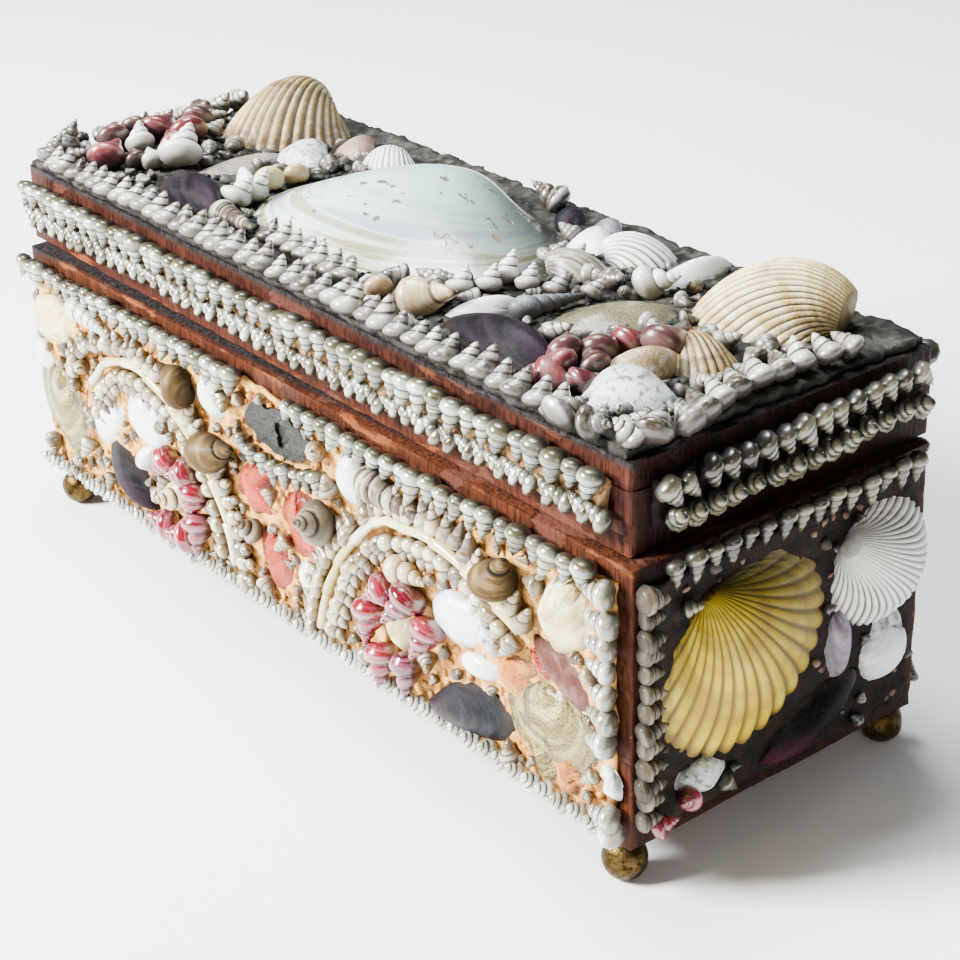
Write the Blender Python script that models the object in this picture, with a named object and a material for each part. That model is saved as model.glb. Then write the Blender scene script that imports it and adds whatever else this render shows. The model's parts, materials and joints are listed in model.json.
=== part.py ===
"""Shell-covered casket: a papered wooden box with a loose lid, brass ball feet and sea shells set in putty.

The box lies along X with its front facing -Y. Lengths are metres; the shell tables are in millimetres.
Every shell is a separate closed solid seated a hair above its bed of putty.
"""

import math
from collections import namedtuple

import bmesh
import bpy
from mathutils import Matrix, Vector

MM = 0.001

# Clear gap kept between pieces that touch.
GAP = 0.3 * MM

# Carcass of the box.
BODY_LENGTH = 0.300
BODY_WIDTH = 0.107
BODY_HEIGHT = 0.082
WALL = 0.009
FLOOR = 0.007
ARRIS = 0.0008

# Lid: a flat board on a shallow frame, lying askew on the rim.
LID_LENGTH = 0.303
LID_WIDTH = 0.108
LID_HEIGHT = 0.025
LID_BOARD = 0.0075
LID_BOARD_INSET = 0.0006
LID_SHIFT_X = -0.0060
LID_SHIFT_Y = 0.0052
LID_YAW = math.radians(-0.39)

# Brass ball feet, each on a collar under the floor of the box and cut flat where it stands.
FOOT_DIAMETER = 0.0125
FOOT_DROP = 0.0130
FOOT_COLLAR_DIAMETER = 0.0090
FOOT_INSET_X = 0.0067
FOOT_INSET_Y = 0.0042
FOOT_RINGS = 7
FOOT_SEGMENTS = 14

# Beds of putty that the shells are pressed into.
SIDE_BED = 0.0016
TOP_BED = 0.0022
BED_MARGIN = 0.0050
BAND_MARGIN = 0.0050
BAND_LOW = 0.0055
BAND_HIGH = 0.0210
TOP_MARGIN = 0.0032
BED_SOFTENING = 0.0006

# Escutcheon on the front, pierced with a keyhole.
PLATE_LENGTH = 0.038
PLATE_WIDTH = 0.0150
PLATE_THICKNESS = 0.0009
PLATE_X = 0.0008
PLATE_Z = 0.0664
PLATE_LOBES = 12
PLATE_LOBE_DEPTH = 0.055
KEYHOLE_RADIUS = 0.0023
KEYHOLE_SLOT_WIDTH = 0.0022
KEYHOLE_SLOT_DROP = 0.0052

# A bivalve grows along a spiral about its hinge: the beak curls this far over the hinge line.
BEAK_TURN = math.radians(100.0)

# Outline family of a bivalve: half angle of the fan seen from the beak, bluntness of its shoulders,
# number of ribs, depth of the ribs, irregularity of the rim, points round the rim, and growth rings.
Form = namedtuple("Form", "fan bluntness ribs rib_depth wobble points rings")
FORMS = {
    "cockle": Form(86.0, 0.62, 11, 0.022, 0.0, 44, 4),
    "scallop": Form(74.0, 0.48, 11, 0.024, 0.0, 44, 4),
    "small_cockle": Form(86.0, 0.66, 8, 0.022, 0.0, 32, 3),
    "clam": Form(90.0, 0.85, 0, 0.0, 0.0, 18, 3),
    "pearl": Form(90.0, 0.80, 0, 0.0, 0.0, 30, 5),
    "mussel": Form(58.0, 0.52, 0, 0.0, 0.0, 18, 3),
    "plate": Form(90.0, 0.70, 0, 0.0, 0.045, 20, 2),
    "limpet": Form(90.0, 1.00, 0, 0.0, 0.0, 16, 2),
}

# One bivalve: its face, form, centre across and up the face, span across the beak's axis, reach from
# beak to rim, depth, direction that the beak points (degrees from the face's first axis), and finish.
Valve = namedtuple("Valve", "name face form across up span reach depth beak finish")

LID_VALVES = (
    Valve("lid_cockle_left", "top", "cockle", -113, 25, 46, 40, 18, 118, "cockle_brown"),
    Valve("lid_cockle_right", "top", "cockle", 111, 32, 42, 43, 18, 20, "cockle_cream"),
    Valve("lid_pearl_valve", "top", "pearl", -10, 3, 97, 62, 15, 98, "pearl"),
    Valve("lid_mussel_left", "top", "mussel", -78, -32, 20, 50, 9, -15, "mussel"),
    Valve("lid_mussel_middle", "top", "mussel", 79, -34, 22, 52, 9, -8, "mussel"),
    Valve("lid_oyster_plate", "top", "plate", 84, -2, 23, 39, 4, 62, "oyster"),
    Valve("lid_small_cockle", "top", "small_cockle", 123, -4, 20, 19, 8, 160, "cockle_brown"),
    Valve("lid_white_clam", "top", "clam", 127, -33, 21, 14, 7, 146, "white_shell"),
    Valve("lid_ribbed_cockle", "top", "small_cockle", 57, 35, 18, 21, 9, 232, "white_shell"),
    Valve("lid_violet_clam", "top", "clam", 35, 41, 12, 10, 5, 110, "violet_shell"),
    Valve("lid_slipper_shell", "top", "limpet", 53, 15, 13, 18, 8, 225, "grey_shell"),
    Valve("lid_long_valve", "top", "mussel", 77, 35, 10, 29, 6, 82, "white_shell"),
    Valve("lid_ark_shell", "top", "clam", -60, 30, 20, 12, 7, 135, "white_shell"),
    Valve("lid_back_mussel", "top", "mussel", 18, 41, 10, 26, 5, -42, "mussel"),
)

FRONT_VALVES = (
    Valve("front_cream_plate_left", "front", "plate", -135, 60, 31, 18, 5, 100, "cream_shell"),
    Valve("front_oyster_left", "front", "plate", -135, 27, 34, 32, 4, 80, "oyster"),
    Valve("front_tellin_far_left", "front", "clam", -104, 33, 27, 13, 4, 135, "white_shell"),
    Valve("front_tellin_left", "front", "clam", -79, 42, 25, 19, 5, 80, "white_shell"),
    Valve("front_mussel_left", "front", "mussel", -91, 18, 19, 31, 7, -14, "mussel"),
    Valve("front_tellin_upper_left", "front", "clam", -36, 65, 14, 15, 5, 95, "white_shell"),
    Valve("front_jingle_left", "front", "plate", -15, 42, 22, 15, 4, 120, "jingle"),
    Valve("front_jingle_low", "front", "plate", -7, 21, 17, 17, 4, 80, "jingle"),
    Valve("front_jingle_middle", "front", "plate", 10, 39, 25, 20, 4, 110, "jingle"),
    Valve("front_tellin_middle", "front", "clam", 36, 64, 16, 17, 5, 75, "white_shell"),
    Valve("front_tellin_right", "front", "clam", 83, 40, 26, 17, 5, 105, "white_shell"),
    Valve("front_tellin_low_right", "front", "clam", 92, 29, 18, 8, 4, 100, "white_shell"),
    Valve("front_mussel_right", "front", "mussel", 86, 14, 16, 36, 7, 194, "mussel"),
    Valve("front_cream_plate_right", "front", "plate", 126, 60, 19, 20, 5, 60, "cream_shell"),
    Valve("front_jingle_right", "front", "plate", 118, 42, 13, 8, 3, 90, "jingle"),
    Valve("front_oyster_right", "front", "plate", 122, 25, 38, 26, 4, 100, "oyster"),
)

END_VALVES = (
    Valve("right_scallop", "right", "scallop", -15, 46, 55, 53, 11, 120, "scallop"),
    Valve("right_cockle", "right", "cockle", 35, 53, 38, 39, 13, 143, "white_shell"),
    Valve("right_limpet", "right", "limpet", 36, 24, 14, 17, 8, 70, "white_shell"),
    Valve("right_mussel", "right", "mussel", 10, 15, 14, 40, 7, 198, "mussel"),
    Valve("left_scallop", "left", "scallop", 14, 43, 50, 48, 11, 80, "scallop"),
    Valve("left_cockle", "left", "cockle", -31, 44, 32, 32, 12, 60, "cockle_cream"),
    Valve("back_scallop", "back", "scallop", 0, 43, 48, 46, 11, 90, "scallop"),
    Valve("back_mussel_left", "back", "mussel", -86, 42, 18, 36, 7, 150, "mussel"),
    Valve("back_mussel_right", "back", "mussel", 86, 42, 18, 36, 7, 30, "mussel"),
)

# One coiled shell: its face, centre of the base, length, girth, direction of the apex, and whorls.
Coil = namedtuple("Coil", "name face across up length girth apex whorls finish")
COILS = (
    Coil("lid_auger_left", "top", -35, -41, 20, 7, -7, 5, "grey_shell"),
    Coil("lid_auger_middle", "top", 71, -10, 23, 7, 80, 6, "grey_shell"),
    Coil("front_banded_snail", "front", -51, 69, 19, 9, 168, 3, "tan_shell"),
    Coil("front_periwinkle", "front", -26, 54, 18, 10, 25, 2, "tan_shell"),
    Coil("front_whelk", "front", 63, 71, 24, 8, -4, 4, "tan_shell"),
)

# sRGB colour, roughness and metallic value of each finish.
FINISHES = {
    "papered_wood": ("#8a4536", 0.55, 0.0),
    "lid_wood": ("#7d3d31", 0.55, 0.0),
    "brass": ("#8a7a50", 0.38, 1.0),
    "dull_metal": ("#6f6f6b", 0.45, 1.0),
    "putty": ("#c9a079", 0.85, 0.0),
    "dark_putty": ("#6f6154", 0.85, 0.0),
    "cockle_brown": ("#c2a878", 0.6, 0.0),
    "cockle_cream": ("#e2d5ae", 0.6, 0.0),
    "pearl": ("#dfe6e6", 0.2, 0.0),
    "mussel": ("#4d4158", 0.3, 0.0),
    "oyster": ("#a39b6d", 0.45, 0.0),
    "white_shell": ("#dfe3e0", 0.4, 0.0),
    "violet_shell": ("#b9a6bd", 0.4, 0.0),
    "grey_shell": ("#9b9484", 0.55, 0.0),
    "cream_shell": ("#e3d9bd", 0.5, 0.0),
    "jingle": ("#d96b52", 0.3, 0.0),
    "scallop": ("#c9b14a", 0.5, 0.0),
    "tan_shell": ("#a08a6a", 0.4, 0.0),
}


def clear_scene():
    """Remove whatever the scene holds."""
    for obj in list(bpy.data.objects):
        bpy.data.objects.remove(obj, do_unlink=True)


def linear(channel):
    """Turn one sRGB channel, 0 to 1, to linear light."""
    if channel <= 0.04045:
        return channel / 12.92
    return ((channel + 0.055) / 1.055) ** 2.4


def make_material(name):
    """Return the piece's own material of this finish."""
    code, roughness, metallic = FINISHES[name]
    channels = [linear(int(code[i:i + 2], 16) / 255.0) for i in (1, 3, 5)]
    material = bpy.data.materials.new(name)
    material.use_nodes = True
    shader = material.node_tree.nodes["Principled BSDF"]
    shader.inputs["Base Color"].default_value = (*channels, 1.0)
    shader.inputs["Roughness"].default_value = roughness
    shader.inputs["Metallic"].default_value = metallic
    return material


def add_object(name, mesh_source, finish, smooth=False):
    """Make a scene object from a bmesh and free the bmesh."""
    mesh = bpy.data.meshes.new(name)
    bmesh.ops.recalc_face_normals(mesh_source, faces=mesh_source.faces[:])
    mesh_source.to_mesh(mesh)
    mesh_source.free()
    if smooth:
        mesh.shade_smooth()
    mesh.materials.append(make_material(finish))
    obj = bpy.data.objects.new(name, mesh)
    bpy.context.scene.collection.objects.link(obj)
    return obj


def block(low, high):
    """Return a bmesh box between two corners."""
    low = Vector(low)
    high = Vector(high)
    mesh = bmesh.new()
    bmesh.ops.create_cube(mesh, size=1.0)
    bmesh.ops.scale(mesh, vec=high - low, verts=mesh.verts[:])
    bmesh.ops.translate(mesh, vec=(low + high) / 2.0, verts=mesh.verts[:])
    return mesh


def face_towards(mesh, direction):
    """Return the face whose normal is nearest to a direction."""
    mesh.normal_update()
    return max(mesh.faces, key=lambda face: face.normal.dot(Vector(direction)))


def bevel_edges(mesh, edges, width, segments):
    """Round the given edges of a bmesh."""
    bmesh.ops.bevel(mesh, geom=edges, offset=width, segments=segments, profile=0.5,
                    affect="EDGES", offset_type="OFFSET", material=-1)


def sink_face(mesh, face, border, depth):
    """Inset a face by a border and push it into the solid."""
    bmesh.ops.inset_region(mesh, faces=[face], thickness=border)
    push = -face.normal.normalized() * depth
    made = bmesh.ops.extrude_face_region(mesh, geom=[face])
    verts = [item for item in made["geom"] if isinstance(item, bmesh.types.BMVert)]
    bmesh.ops.delete(mesh, geom=[face], context="FACES")
    bmesh.ops.translate(mesh, vec=push, verts=verts)


def outer_uprights(mesh, half_length, half_width):
    """Return the vertical edges on the outer corners of a box."""
    found = []
    for edge in mesh.edges:
        first, second = edge.verts
        middle = (first.co + second.co) / 2.0
        upright = abs((first.co - second.co).normalized().z) > 0.99
        outside = abs(middle.x) > half_length - 0.5 * WALL and abs(middle.y) > half_width - 0.5 * WALL
        if upright and outside:
            found.append(edge)
    return found


def build_body():
    """The carcass: four walls and a floor, open above."""
    half_length = BODY_LENGTH / 2.0
    half_width = BODY_WIDTH / 2.0
    mesh = block((-half_length, -half_width, 0.0), (half_length, half_width, BODY_HEIGHT))
    sink_face(mesh, face_towards(mesh, (0, 0, 1)), WALL, BODY_HEIGHT - FLOOR)
    bevel_edges(mesh, outer_uprights(mesh, half_length, half_width), ARRIS, 2)
    return add_object("box_body", mesh, "papered_wood")


def lid_matrix():
    """Return the lid's place: underside of its frame, centred, turned a little."""
    shift = Matrix.Translation((LID_SHIFT_X, LID_SHIFT_Y, BODY_HEIGHT + GAP))
    return shift @ Matrix.Rotation(LID_YAW, 4, "Z")


def build_lid():
    """The lid: a board on a frame, hollow below."""
    half_length = LID_LENGTH / 2.0
    half_width = LID_WIDTH / 2.0
    frame_top = LID_HEIGHT - LID_BOARD
    mesh = block((-half_length, -half_width, 0.0), (half_length, half_width, frame_top))
    top = face_towards(mesh, (0, 0, 1))
    bmesh.ops.inset_region(mesh, faces=[top], thickness=LID_BOARD_INSET)
    made = bmesh.ops.extrude_face_region(mesh, geom=[top])
    verts = [item for item in made["geom"] if isinstance(item, bmesh.types.BMVert)]
    bmesh.ops.delete(mesh, geom=[top], context="FACES")
    bmesh.ops.translate(mesh, vec=(0.0, 0.0, LID_BOARD), verts=verts)
    sink_face(mesh, face_towards(mesh, (0, 0, -1)), WALL, frame_top)
    bevel_edges(mesh, outer_uprights(mesh, half_length, half_width), 2.0 * ARRIS, 2)
    bmesh.ops.transform(mesh, matrix=lid_matrix(), verts=mesh.verts[:])
    return add_object("lid", mesh, "lid_wood")


def foot_mesh():
    """Return a ball on a collar, turned about Z, its top just below the floor of the box."""
    radius = FOOT_DIAMETER / 2.0
    collar = FOOT_COLLAR_DIAMETER / 2.0
    flat = radius * math.sin(math.pi / (FOOT_RINGS + 1))
    centre_z = -FOOT_DROP + math.sqrt(radius ** 2 - flat ** 2)
    first = math.asin(flat / radius)
    last = math.pi - math.asin(collar / radius)
    profile = [(0.0, -FOOT_DROP)]
    for ring in range(FOOT_RINGS):
        turn = first + (last - first) * ring / (FOOT_RINGS - 1)
        profile.append((radius * math.sin(turn), centre_z - radius * math.cos(turn)))
    profile += [(collar, -GAP), (0.0, -GAP)]
    mesh = bmesh.new()
    path = [mesh.verts.new((across, 0.0, up)) for across, up in profile]
    edges = [mesh.edges.new(pair) for pair in zip(path, path[1:])]
    bmesh.ops.spin(mesh, geom=path + edges, cent=(0, 0, 0), axis=(0, 0, 1), angle=2.0 * math.pi,
                   steps=FOOT_SEGMENTS, use_merge=True)
    bmesh.ops.remove_doubles(mesh, verts=mesh.verts[:], dist=1e-6)
    return mesh


def build_feet():
    """Four ball feet under the corners."""
    for side_x, side_name in ((-1, "left"), (1, "right")):
        for side_y, end_name in ((-1, "front"), (1, "back")):
            mesh = foot_mesh()
            place = Vector((side_x * (BODY_LENGTH / 2.0 - FOOT_INSET_X),
                            side_y * (BODY_WIDTH / 2.0 - FOOT_INSET_Y), 0.0))
            bmesh.ops.translate(mesh, vec=place, verts=mesh.verts[:])
            add_object(f"foot_{end_name}_{side_name}", mesh, "brass", smooth=True)


def face_matrix(face):
    """Return the frame of one face of the casket: first axis across, second up, third outwards."""
    outward = {
        "front": ((1, 0, 0), (0, 0, 1), (0, -1, 0), (0, -BODY_WIDTH / 2.0, 0)),
        "back": ((-1, 0, 0), (0, 0, 1), (0, 1, 0), (0, BODY_WIDTH / 2.0, 0)),
        "right": ((0, 1, 0), (0, 0, 1), (1, 0, 0), (BODY_LENGTH / 2.0, 0, 0)),
        "left": ((0, -1, 0), (0, 0, 1), (-1, 0, 0), (-BODY_LENGTH / 2.0, 0, 0)),
        "lid_front": ((1, 0, 0), (0, 0, 1), (0, -1, 0), (0, -LID_WIDTH / 2.0, 0)),
        "lid_back": ((-1, 0, 0), (0, 0, 1), (0, 1, 0), (0, LID_WIDTH / 2.0, 0)),
        "lid_right": ((0, 1, 0), (0, 0, 1), (1, 0, 0), (LID_LENGTH / 2.0, 0, 0)),
        "lid_left": ((0, -1, 0), (0, 0, 1), (-1, 0, 0), (-LID_LENGTH / 2.0, 0, 0)),
        "top": ((1, 0, 0), (0, 1, 0), (0, 0, 1), (0, 0, LID_HEIGHT)),
    }
    across, up, out, origin = (Vector(item) for item in outward[face])
    matrix = Matrix((across, up, out)).transposed().to_4x4()
    matrix.translation = origin
    if face == "top" or face.startswith("lid_"):
        matrix = lid_matrix() @ matrix
    return matrix


def build_bed(name, face, low, high, thickness, finish):
    """A slab of putty on one face, with soft edges."""
    mesh = block((low[0], low[1], GAP), (high[0], high[1], thickness))
    rim = face_towards(mesh, (0, 0, 1)).edges[:]
    bevel_edges(mesh, rim, BED_SOFTENING, 1)
    bmesh.ops.transform(mesh, matrix=face_matrix(face), verts=mesh.verts[:])
    return add_object(name, mesh, finish)


def build_beds():
    """The putty on the four sides of the box, round the lid and on its top; returns the front one."""
    long_half = BODY_LENGTH / 2.0 - BED_MARGIN
    short_half = BODY_WIDTH / 2.0 - BED_MARGIN
    low = BED_MARGIN
    high = BODY_HEIGHT - BED_MARGIN
    front = build_bed("bed_front", "front", (-long_half, low), (long_half, high), SIDE_BED, "putty")
    build_bed("bed_back", "back", (-long_half, low), (long_half, high), SIDE_BED, "putty")
    build_bed("bed_right", "right", (-short_half, low), (short_half, high), SIDE_BED, "dark_putty")
    build_bed("bed_left", "left", (-short_half, low), (short_half, high), SIDE_BED, "dark_putty")
    for side, reach in (("front", LID_LENGTH), ("back", LID_LENGTH), ("right", LID_WIDTH), ("left", LID_WIDTH)):
        half = reach / 2.0 - BAND_MARGIN
        build_bed(f"lid_band_{side}", f"lid_{side}", (-half, BAND_LOW), (half, BAND_HIGH), SIDE_BED, "putty")
    half_length = LID_LENGTH / 2.0 - TOP_MARGIN
    half_width = LID_WIDTH / 2.0 - TOP_MARGIN
    build_bed("lid_bed_top", "top", (-half_length, -half_width), (half_length, half_width), TOP_BED, "dark_putty")
    return front


def keyhole_cutter():
    """A round hole with a slot below it, long enough to pierce the plate and the putty."""
    mesh = block((-KEYHOLE_SLOT_WIDTH / 2.0, -KEYHOLE_SLOT_DROP, -SIDE_BED),
                 (KEYHOLE_SLOT_WIDTH / 2.0, 0.0, 3.0 * SIDE_BED))
    slot = bpy.data.meshes.new("keyhole_slot")
    mesh.to_mesh(slot)
    mesh.free()
    mesh = bmesh.new()
    bmesh.ops.create_cone(mesh, cap_ends=True, segments=14, radius1=KEYHOLE_RADIUS, radius2=KEYHOLE_RADIUS,
                          depth=4.0 * SIDE_BED, matrix=Matrix.Translation((0, 0, SIDE_BED)))
    cutters = []
    round_hole = bpy.data.meshes.new("keyhole_round")
    mesh.to_mesh(round_hole)
    mesh.free()
    for source in (slot, round_hole):
        source.transform(face_matrix("front") @ Matrix.Translation((PLATE_X, PLATE_Z, 0.0)))
        cutter = bpy.data.objects.new(source.name, source)
        cutter.hide_render = True
        cutter.display_type = "WIRE"
        bpy.context.scene.collection.objects.link(cutter)
        cutters.append(cutter)
    return cutters


def pierce(obj, cutters):
    """Cut the keyhole through a piece."""
    for cutter in cutters:
        modifier = obj.modifiers.new(cutter.name, "BOOLEAN")
        modifier.operation = "DIFFERENCE"
        modifier.object = cutter
        modifier.solver = "EXACT"


def build_plate():
    """The escutcheon: a thin oblong plate with a lobed edge."""
    steps = 4 * PLATE_LOBES
    mesh = bmesh.new()
    made = bmesh.ops.create_circle(mesh, cap_ends=True, segments=steps, radius=1.0)
    for index, vert in enumerate(made["verts"]):
        turn = math.atan2(vert.co.y, vert.co.x)
        lobe = 1.0 + PLATE_LOBE_DEPTH * math.cos(PLATE_LOBES * turn)
        squared_x = math.copysign(abs(math.cos(turn)) ** 0.8, math.cos(turn))
        squared_y = math.copysign(abs(math.sin(turn)) ** 0.8, math.sin(turn))
        vert.co.x = PLATE_LENGTH / 2.0 * lobe * squared_x
        vert.co.y = PLATE_WIDTH / 2.0 * lobe * squared_y
    made = bmesh.ops.extrude_face_region(mesh, geom=mesh.faces[:], use_keep_orig=True)
    verts = [item for item in made["geom"] if isinstance(item, bmesh.types.BMVert)]
    bmesh.ops.translate(mesh, vec=(0.0, 0.0, PLATE_THICKNESS), verts=verts)
    place = face_matrix("front") @ Matrix.Translation((PLATE_X, PLATE_Z, SIDE_BED + GAP))
    bmesh.ops.transform(mesh, matrix=place, verts=mesh.verts[:])
    return add_object("lock_plate", mesh, "dull_metal")


def spiral_rate(ratio):
    """Return the growth rate whose spiral rises to this share of the valve's reach."""
    low = 0.2
    high = 12.0
    for _ in range(40):
        rate = (low + high) / 2.0
        turn = math.atan(1.0 / rate)
        if math.exp(-rate * turn) * math.sin(turn) > ratio:
            low = rate
        else:
            high = rate
    return rate


def rim_outline(form):
    """Return the rim as points (across, away from the beak) in a unit square, starting at the beak."""
    points = []
    for index in range(1, form.points):
        share = 2.0 * index / form.points - 1.0
        turn = math.sin(share * math.pi / 2.0)
        reach = math.cos(turn * math.pi / 2.0) ** form.bluntness
        reach *= 1.0 - form.rib_depth * math.cos(form.ribs * 2.0 * math.pi * index / form.points)
        reach *= 1.0 + form.wobble * math.sin(5.0 * share + form.points) * math.cos(9.0 * share)
        angle = turn * math.radians(form.fan)
        points.append((reach * math.sin(angle), reach * math.cos(angle)))
    widest = max(point[0] for point in points) - min(point[0] for point in points)
    longest = max(point[1] for point in points)
    return [(0.0, 0.0)] + [(across / widest, away / longest) for across, away in points]


def valve_mesh(form, span, reach, depth):
    """Return a filled half shell, beak at the origin, growing along -Y, with its rim on Z = 0."""
    outline = rim_outline(form)
    rate = spiral_rate(depth / reach)
    mesh = bmesh.new()
    bmesh.ops.create_circle(mesh, cap_ends=True, segments=len(outline), radius=1.0)
    mesh.verts.ensure_lookup_table()
    for vert, (across, away) in zip(mesh.verts, outline):
        vert.co = (across * span, -away * reach, 0.0)
    top = mesh.faces[:]
    for ring in range(1, form.rings + 1):
        made = bmesh.ops.extrude_face_region(mesh, geom=top, use_keep_orig=ring == 1)
        if ring > 1:
            bmesh.ops.delete(mesh, geom=top, context="FACES_ONLY")
        top = [item for item in made["geom"] if isinstance(item, bmesh.types.BMFace)]
        verts = top[0].verts[:]
        turn = BEAK_TURN * ring / form.rings
        previous = BEAK_TURN * (ring - 1) / form.rings
        shrink = math.exp(-rate * (turn - previous))
        fold = Matrix.Rotation(-(turn - previous), 4, "X") @ Matrix.Scale(shrink, 4)
        bmesh.ops.transform(mesh, matrix=fold, verts=verts)
    bmesh.ops.remove_doubles(mesh, verts=mesh.verts[:], dist=1e-6)
    return mesh


def build_valve(valve):
    """Seat one bivalve on its face."""
    mesh = valve_mesh(FORMS[valve.form], valve.span * MM, valve.reach * MM, valve.depth * MM)
    bed = TOP_BED if valve.face == "top" else SIDE_BED
    place = face_matrix(valve.face) @ Matrix.Translation((valve.across * MM, valve.up * MM, bed + GAP))
    turn = Matrix.Rotation(math.radians(valve.beak - 90.0), 4, "Z")
    centre = Matrix.Translation((0.0, valve.reach * MM / 2.0, 0.0))
    bmesh.ops.transform(mesh, matrix=place @ turn @ centre, verts=mesh.verts[:])
    return add_object(valve.name, mesh, valve.finish, smooth=valve.form not in ("cockle", "scallop"))


def coil_mesh(length, girth, whorls):
    """Return a turned shell along +X, apex forwards, with a swelling for each whorl."""
    steps = 3 * whorls
    mesh = bmesh.new()
    path = [mesh.verts.new((-length / 2.0, 0.0, 0.0))]
    for step in range(steps):
        share = (step + 0.6) / (steps + 0.6)
        swell = 1.0 + 0.14 * math.sin(2.0 * math.pi * (share * whorls + 0.1))
        radius = girth / 2.0 * (1.0 - share) ** 0.8 * swell / 1.05
        path.append(mesh.verts.new((-length / 2.0 + length * share, 0.0, radius)))
    path.append(mesh.verts.new((length / 2.0, 0.0, 0.0)))
    edges = [mesh.edges.new((first, second)) for first, second in zip(path, path[1:])]
    bmesh.ops.spin(mesh, geom=path + edges, cent=(0, 0, 0), axis=(1, 0, 0), angle=2.0 * math.pi,
                   steps=8, use_merge=True)
    bmesh.ops.remove_doubles(mesh, verts=mesh.verts[:], dist=1e-6)
    return mesh


def build_coil(coil):
    """Lay one coiled shell on its side on its face."""
    mesh = coil_mesh(coil.length * MM, coil.girth * MM, coil.whorls)
    bed = TOP_BED if coil.face == "top" else SIDE_BED
    low = min(vert.co.z for vert in mesh.verts)
    place = face_matrix(coil.face) @ Matrix.Translation((coil.across * MM, coil.up * MM, bed + GAP - low))
    turn = Matrix.Rotation(math.radians(coil.apex), 4, "Z")
    bmesh.ops.transform(mesh, matrix=place @ turn, verts=mesh.verts[:])
    return add_object(coil.name, mesh, coil.finish, smooth=True)


def centre_on_footprint():
    """Move every piece so that the middle of the whole footprint, at foot level, is the origin."""
    corners = []
    for obj in bpy.data.objects:
        if not obj.hide_render:
            corners += [vert.co for vert in obj.data.vertices]
    low = Vector([min(corner[axis] for corner in corners) for axis in range(3)])
    high = Vector([max(corner[axis] for corner in corners) for axis in range(3)])
    shift = Vector(((low.x + high.x) / 2.0, (low.y + high.y) / 2.0, low.z))
    for obj in bpy.data.objects:
        obj.location = -shift


def main():
    """Build the casket."""
    clear_scene()
    build_body()
    build_lid()
    build_feet()
    front_bed = build_beds()
    plate = build_plate()
    cutters = keyhole_cutter()
    pierce(front_bed, cutters)
    pierce(plate, cutters)
    for valve in LID_VALVES + FRONT_VALVES + END_VALVES:
        build_valve(valve)
    for coil in COILS:
        build_coil(coil)
    centre_on_footprint()


main()
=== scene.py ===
"""Shellwork casket: fine shells, putty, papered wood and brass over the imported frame.

Lengths in the layout tables are millimetres on a face of the casket: across from the middle of the
face, and up from its lower edge, or from the middle of the lid's top.
"""

import json
import logging
import math
import random
from dataclasses import dataclass
from enum import Enum
from functools import cache

import bmesh
import bpy
from mathutils import Matrix, Vector, noise
from mathutils.bvhtree import BVHTree

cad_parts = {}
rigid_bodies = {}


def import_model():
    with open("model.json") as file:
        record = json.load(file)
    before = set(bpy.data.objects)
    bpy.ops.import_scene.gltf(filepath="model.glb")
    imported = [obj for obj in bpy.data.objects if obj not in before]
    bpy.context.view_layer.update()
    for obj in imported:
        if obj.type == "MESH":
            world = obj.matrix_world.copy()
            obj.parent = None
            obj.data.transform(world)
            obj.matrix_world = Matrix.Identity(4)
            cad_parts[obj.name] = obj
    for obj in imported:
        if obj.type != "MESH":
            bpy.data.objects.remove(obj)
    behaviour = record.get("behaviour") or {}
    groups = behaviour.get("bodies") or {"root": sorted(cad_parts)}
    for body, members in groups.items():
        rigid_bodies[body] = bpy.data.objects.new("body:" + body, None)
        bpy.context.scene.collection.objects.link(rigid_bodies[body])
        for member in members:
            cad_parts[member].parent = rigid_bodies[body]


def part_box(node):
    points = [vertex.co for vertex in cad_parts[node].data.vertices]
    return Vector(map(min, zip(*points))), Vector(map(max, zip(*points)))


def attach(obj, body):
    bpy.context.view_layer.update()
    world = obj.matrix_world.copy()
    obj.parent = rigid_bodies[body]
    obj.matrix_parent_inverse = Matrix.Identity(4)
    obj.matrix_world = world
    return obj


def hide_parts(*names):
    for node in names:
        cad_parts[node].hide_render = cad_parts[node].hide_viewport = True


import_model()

BMesh, BMVert, BMEdge, BMFace = bmesh.types.BMesh, bmesh.types.BMVert, bmesh.types.BMEdge, bmesh.types.BMFace
Layer, Object, Mesh, Material = bmesh.types.BMLayerItem, bpy.types.Object, bpy.types.Mesh, bpy.types.Material
Socket = bpy.types.NodeSocket
Finishes = dict[str, Material]
Spot = tuple[float, float]
Path = tuple[Spot, ...]
Triple = tuple[float, float, float]
Number = float | Socket
Colour = str | Socket

MM = 0.001
SIDE_BED = 1.6
TOP_BED = 2.2
LID_YAW = math.radians(-0.39)
BEAK_TURN = math.radians(100.0)

log = logging.getLogger("casket")
SEED = 1867
CHANCE = random.Random(SEED)
noise.seed_set(SEED)
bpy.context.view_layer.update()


# ---------------------------------------------------------------- places


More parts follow.
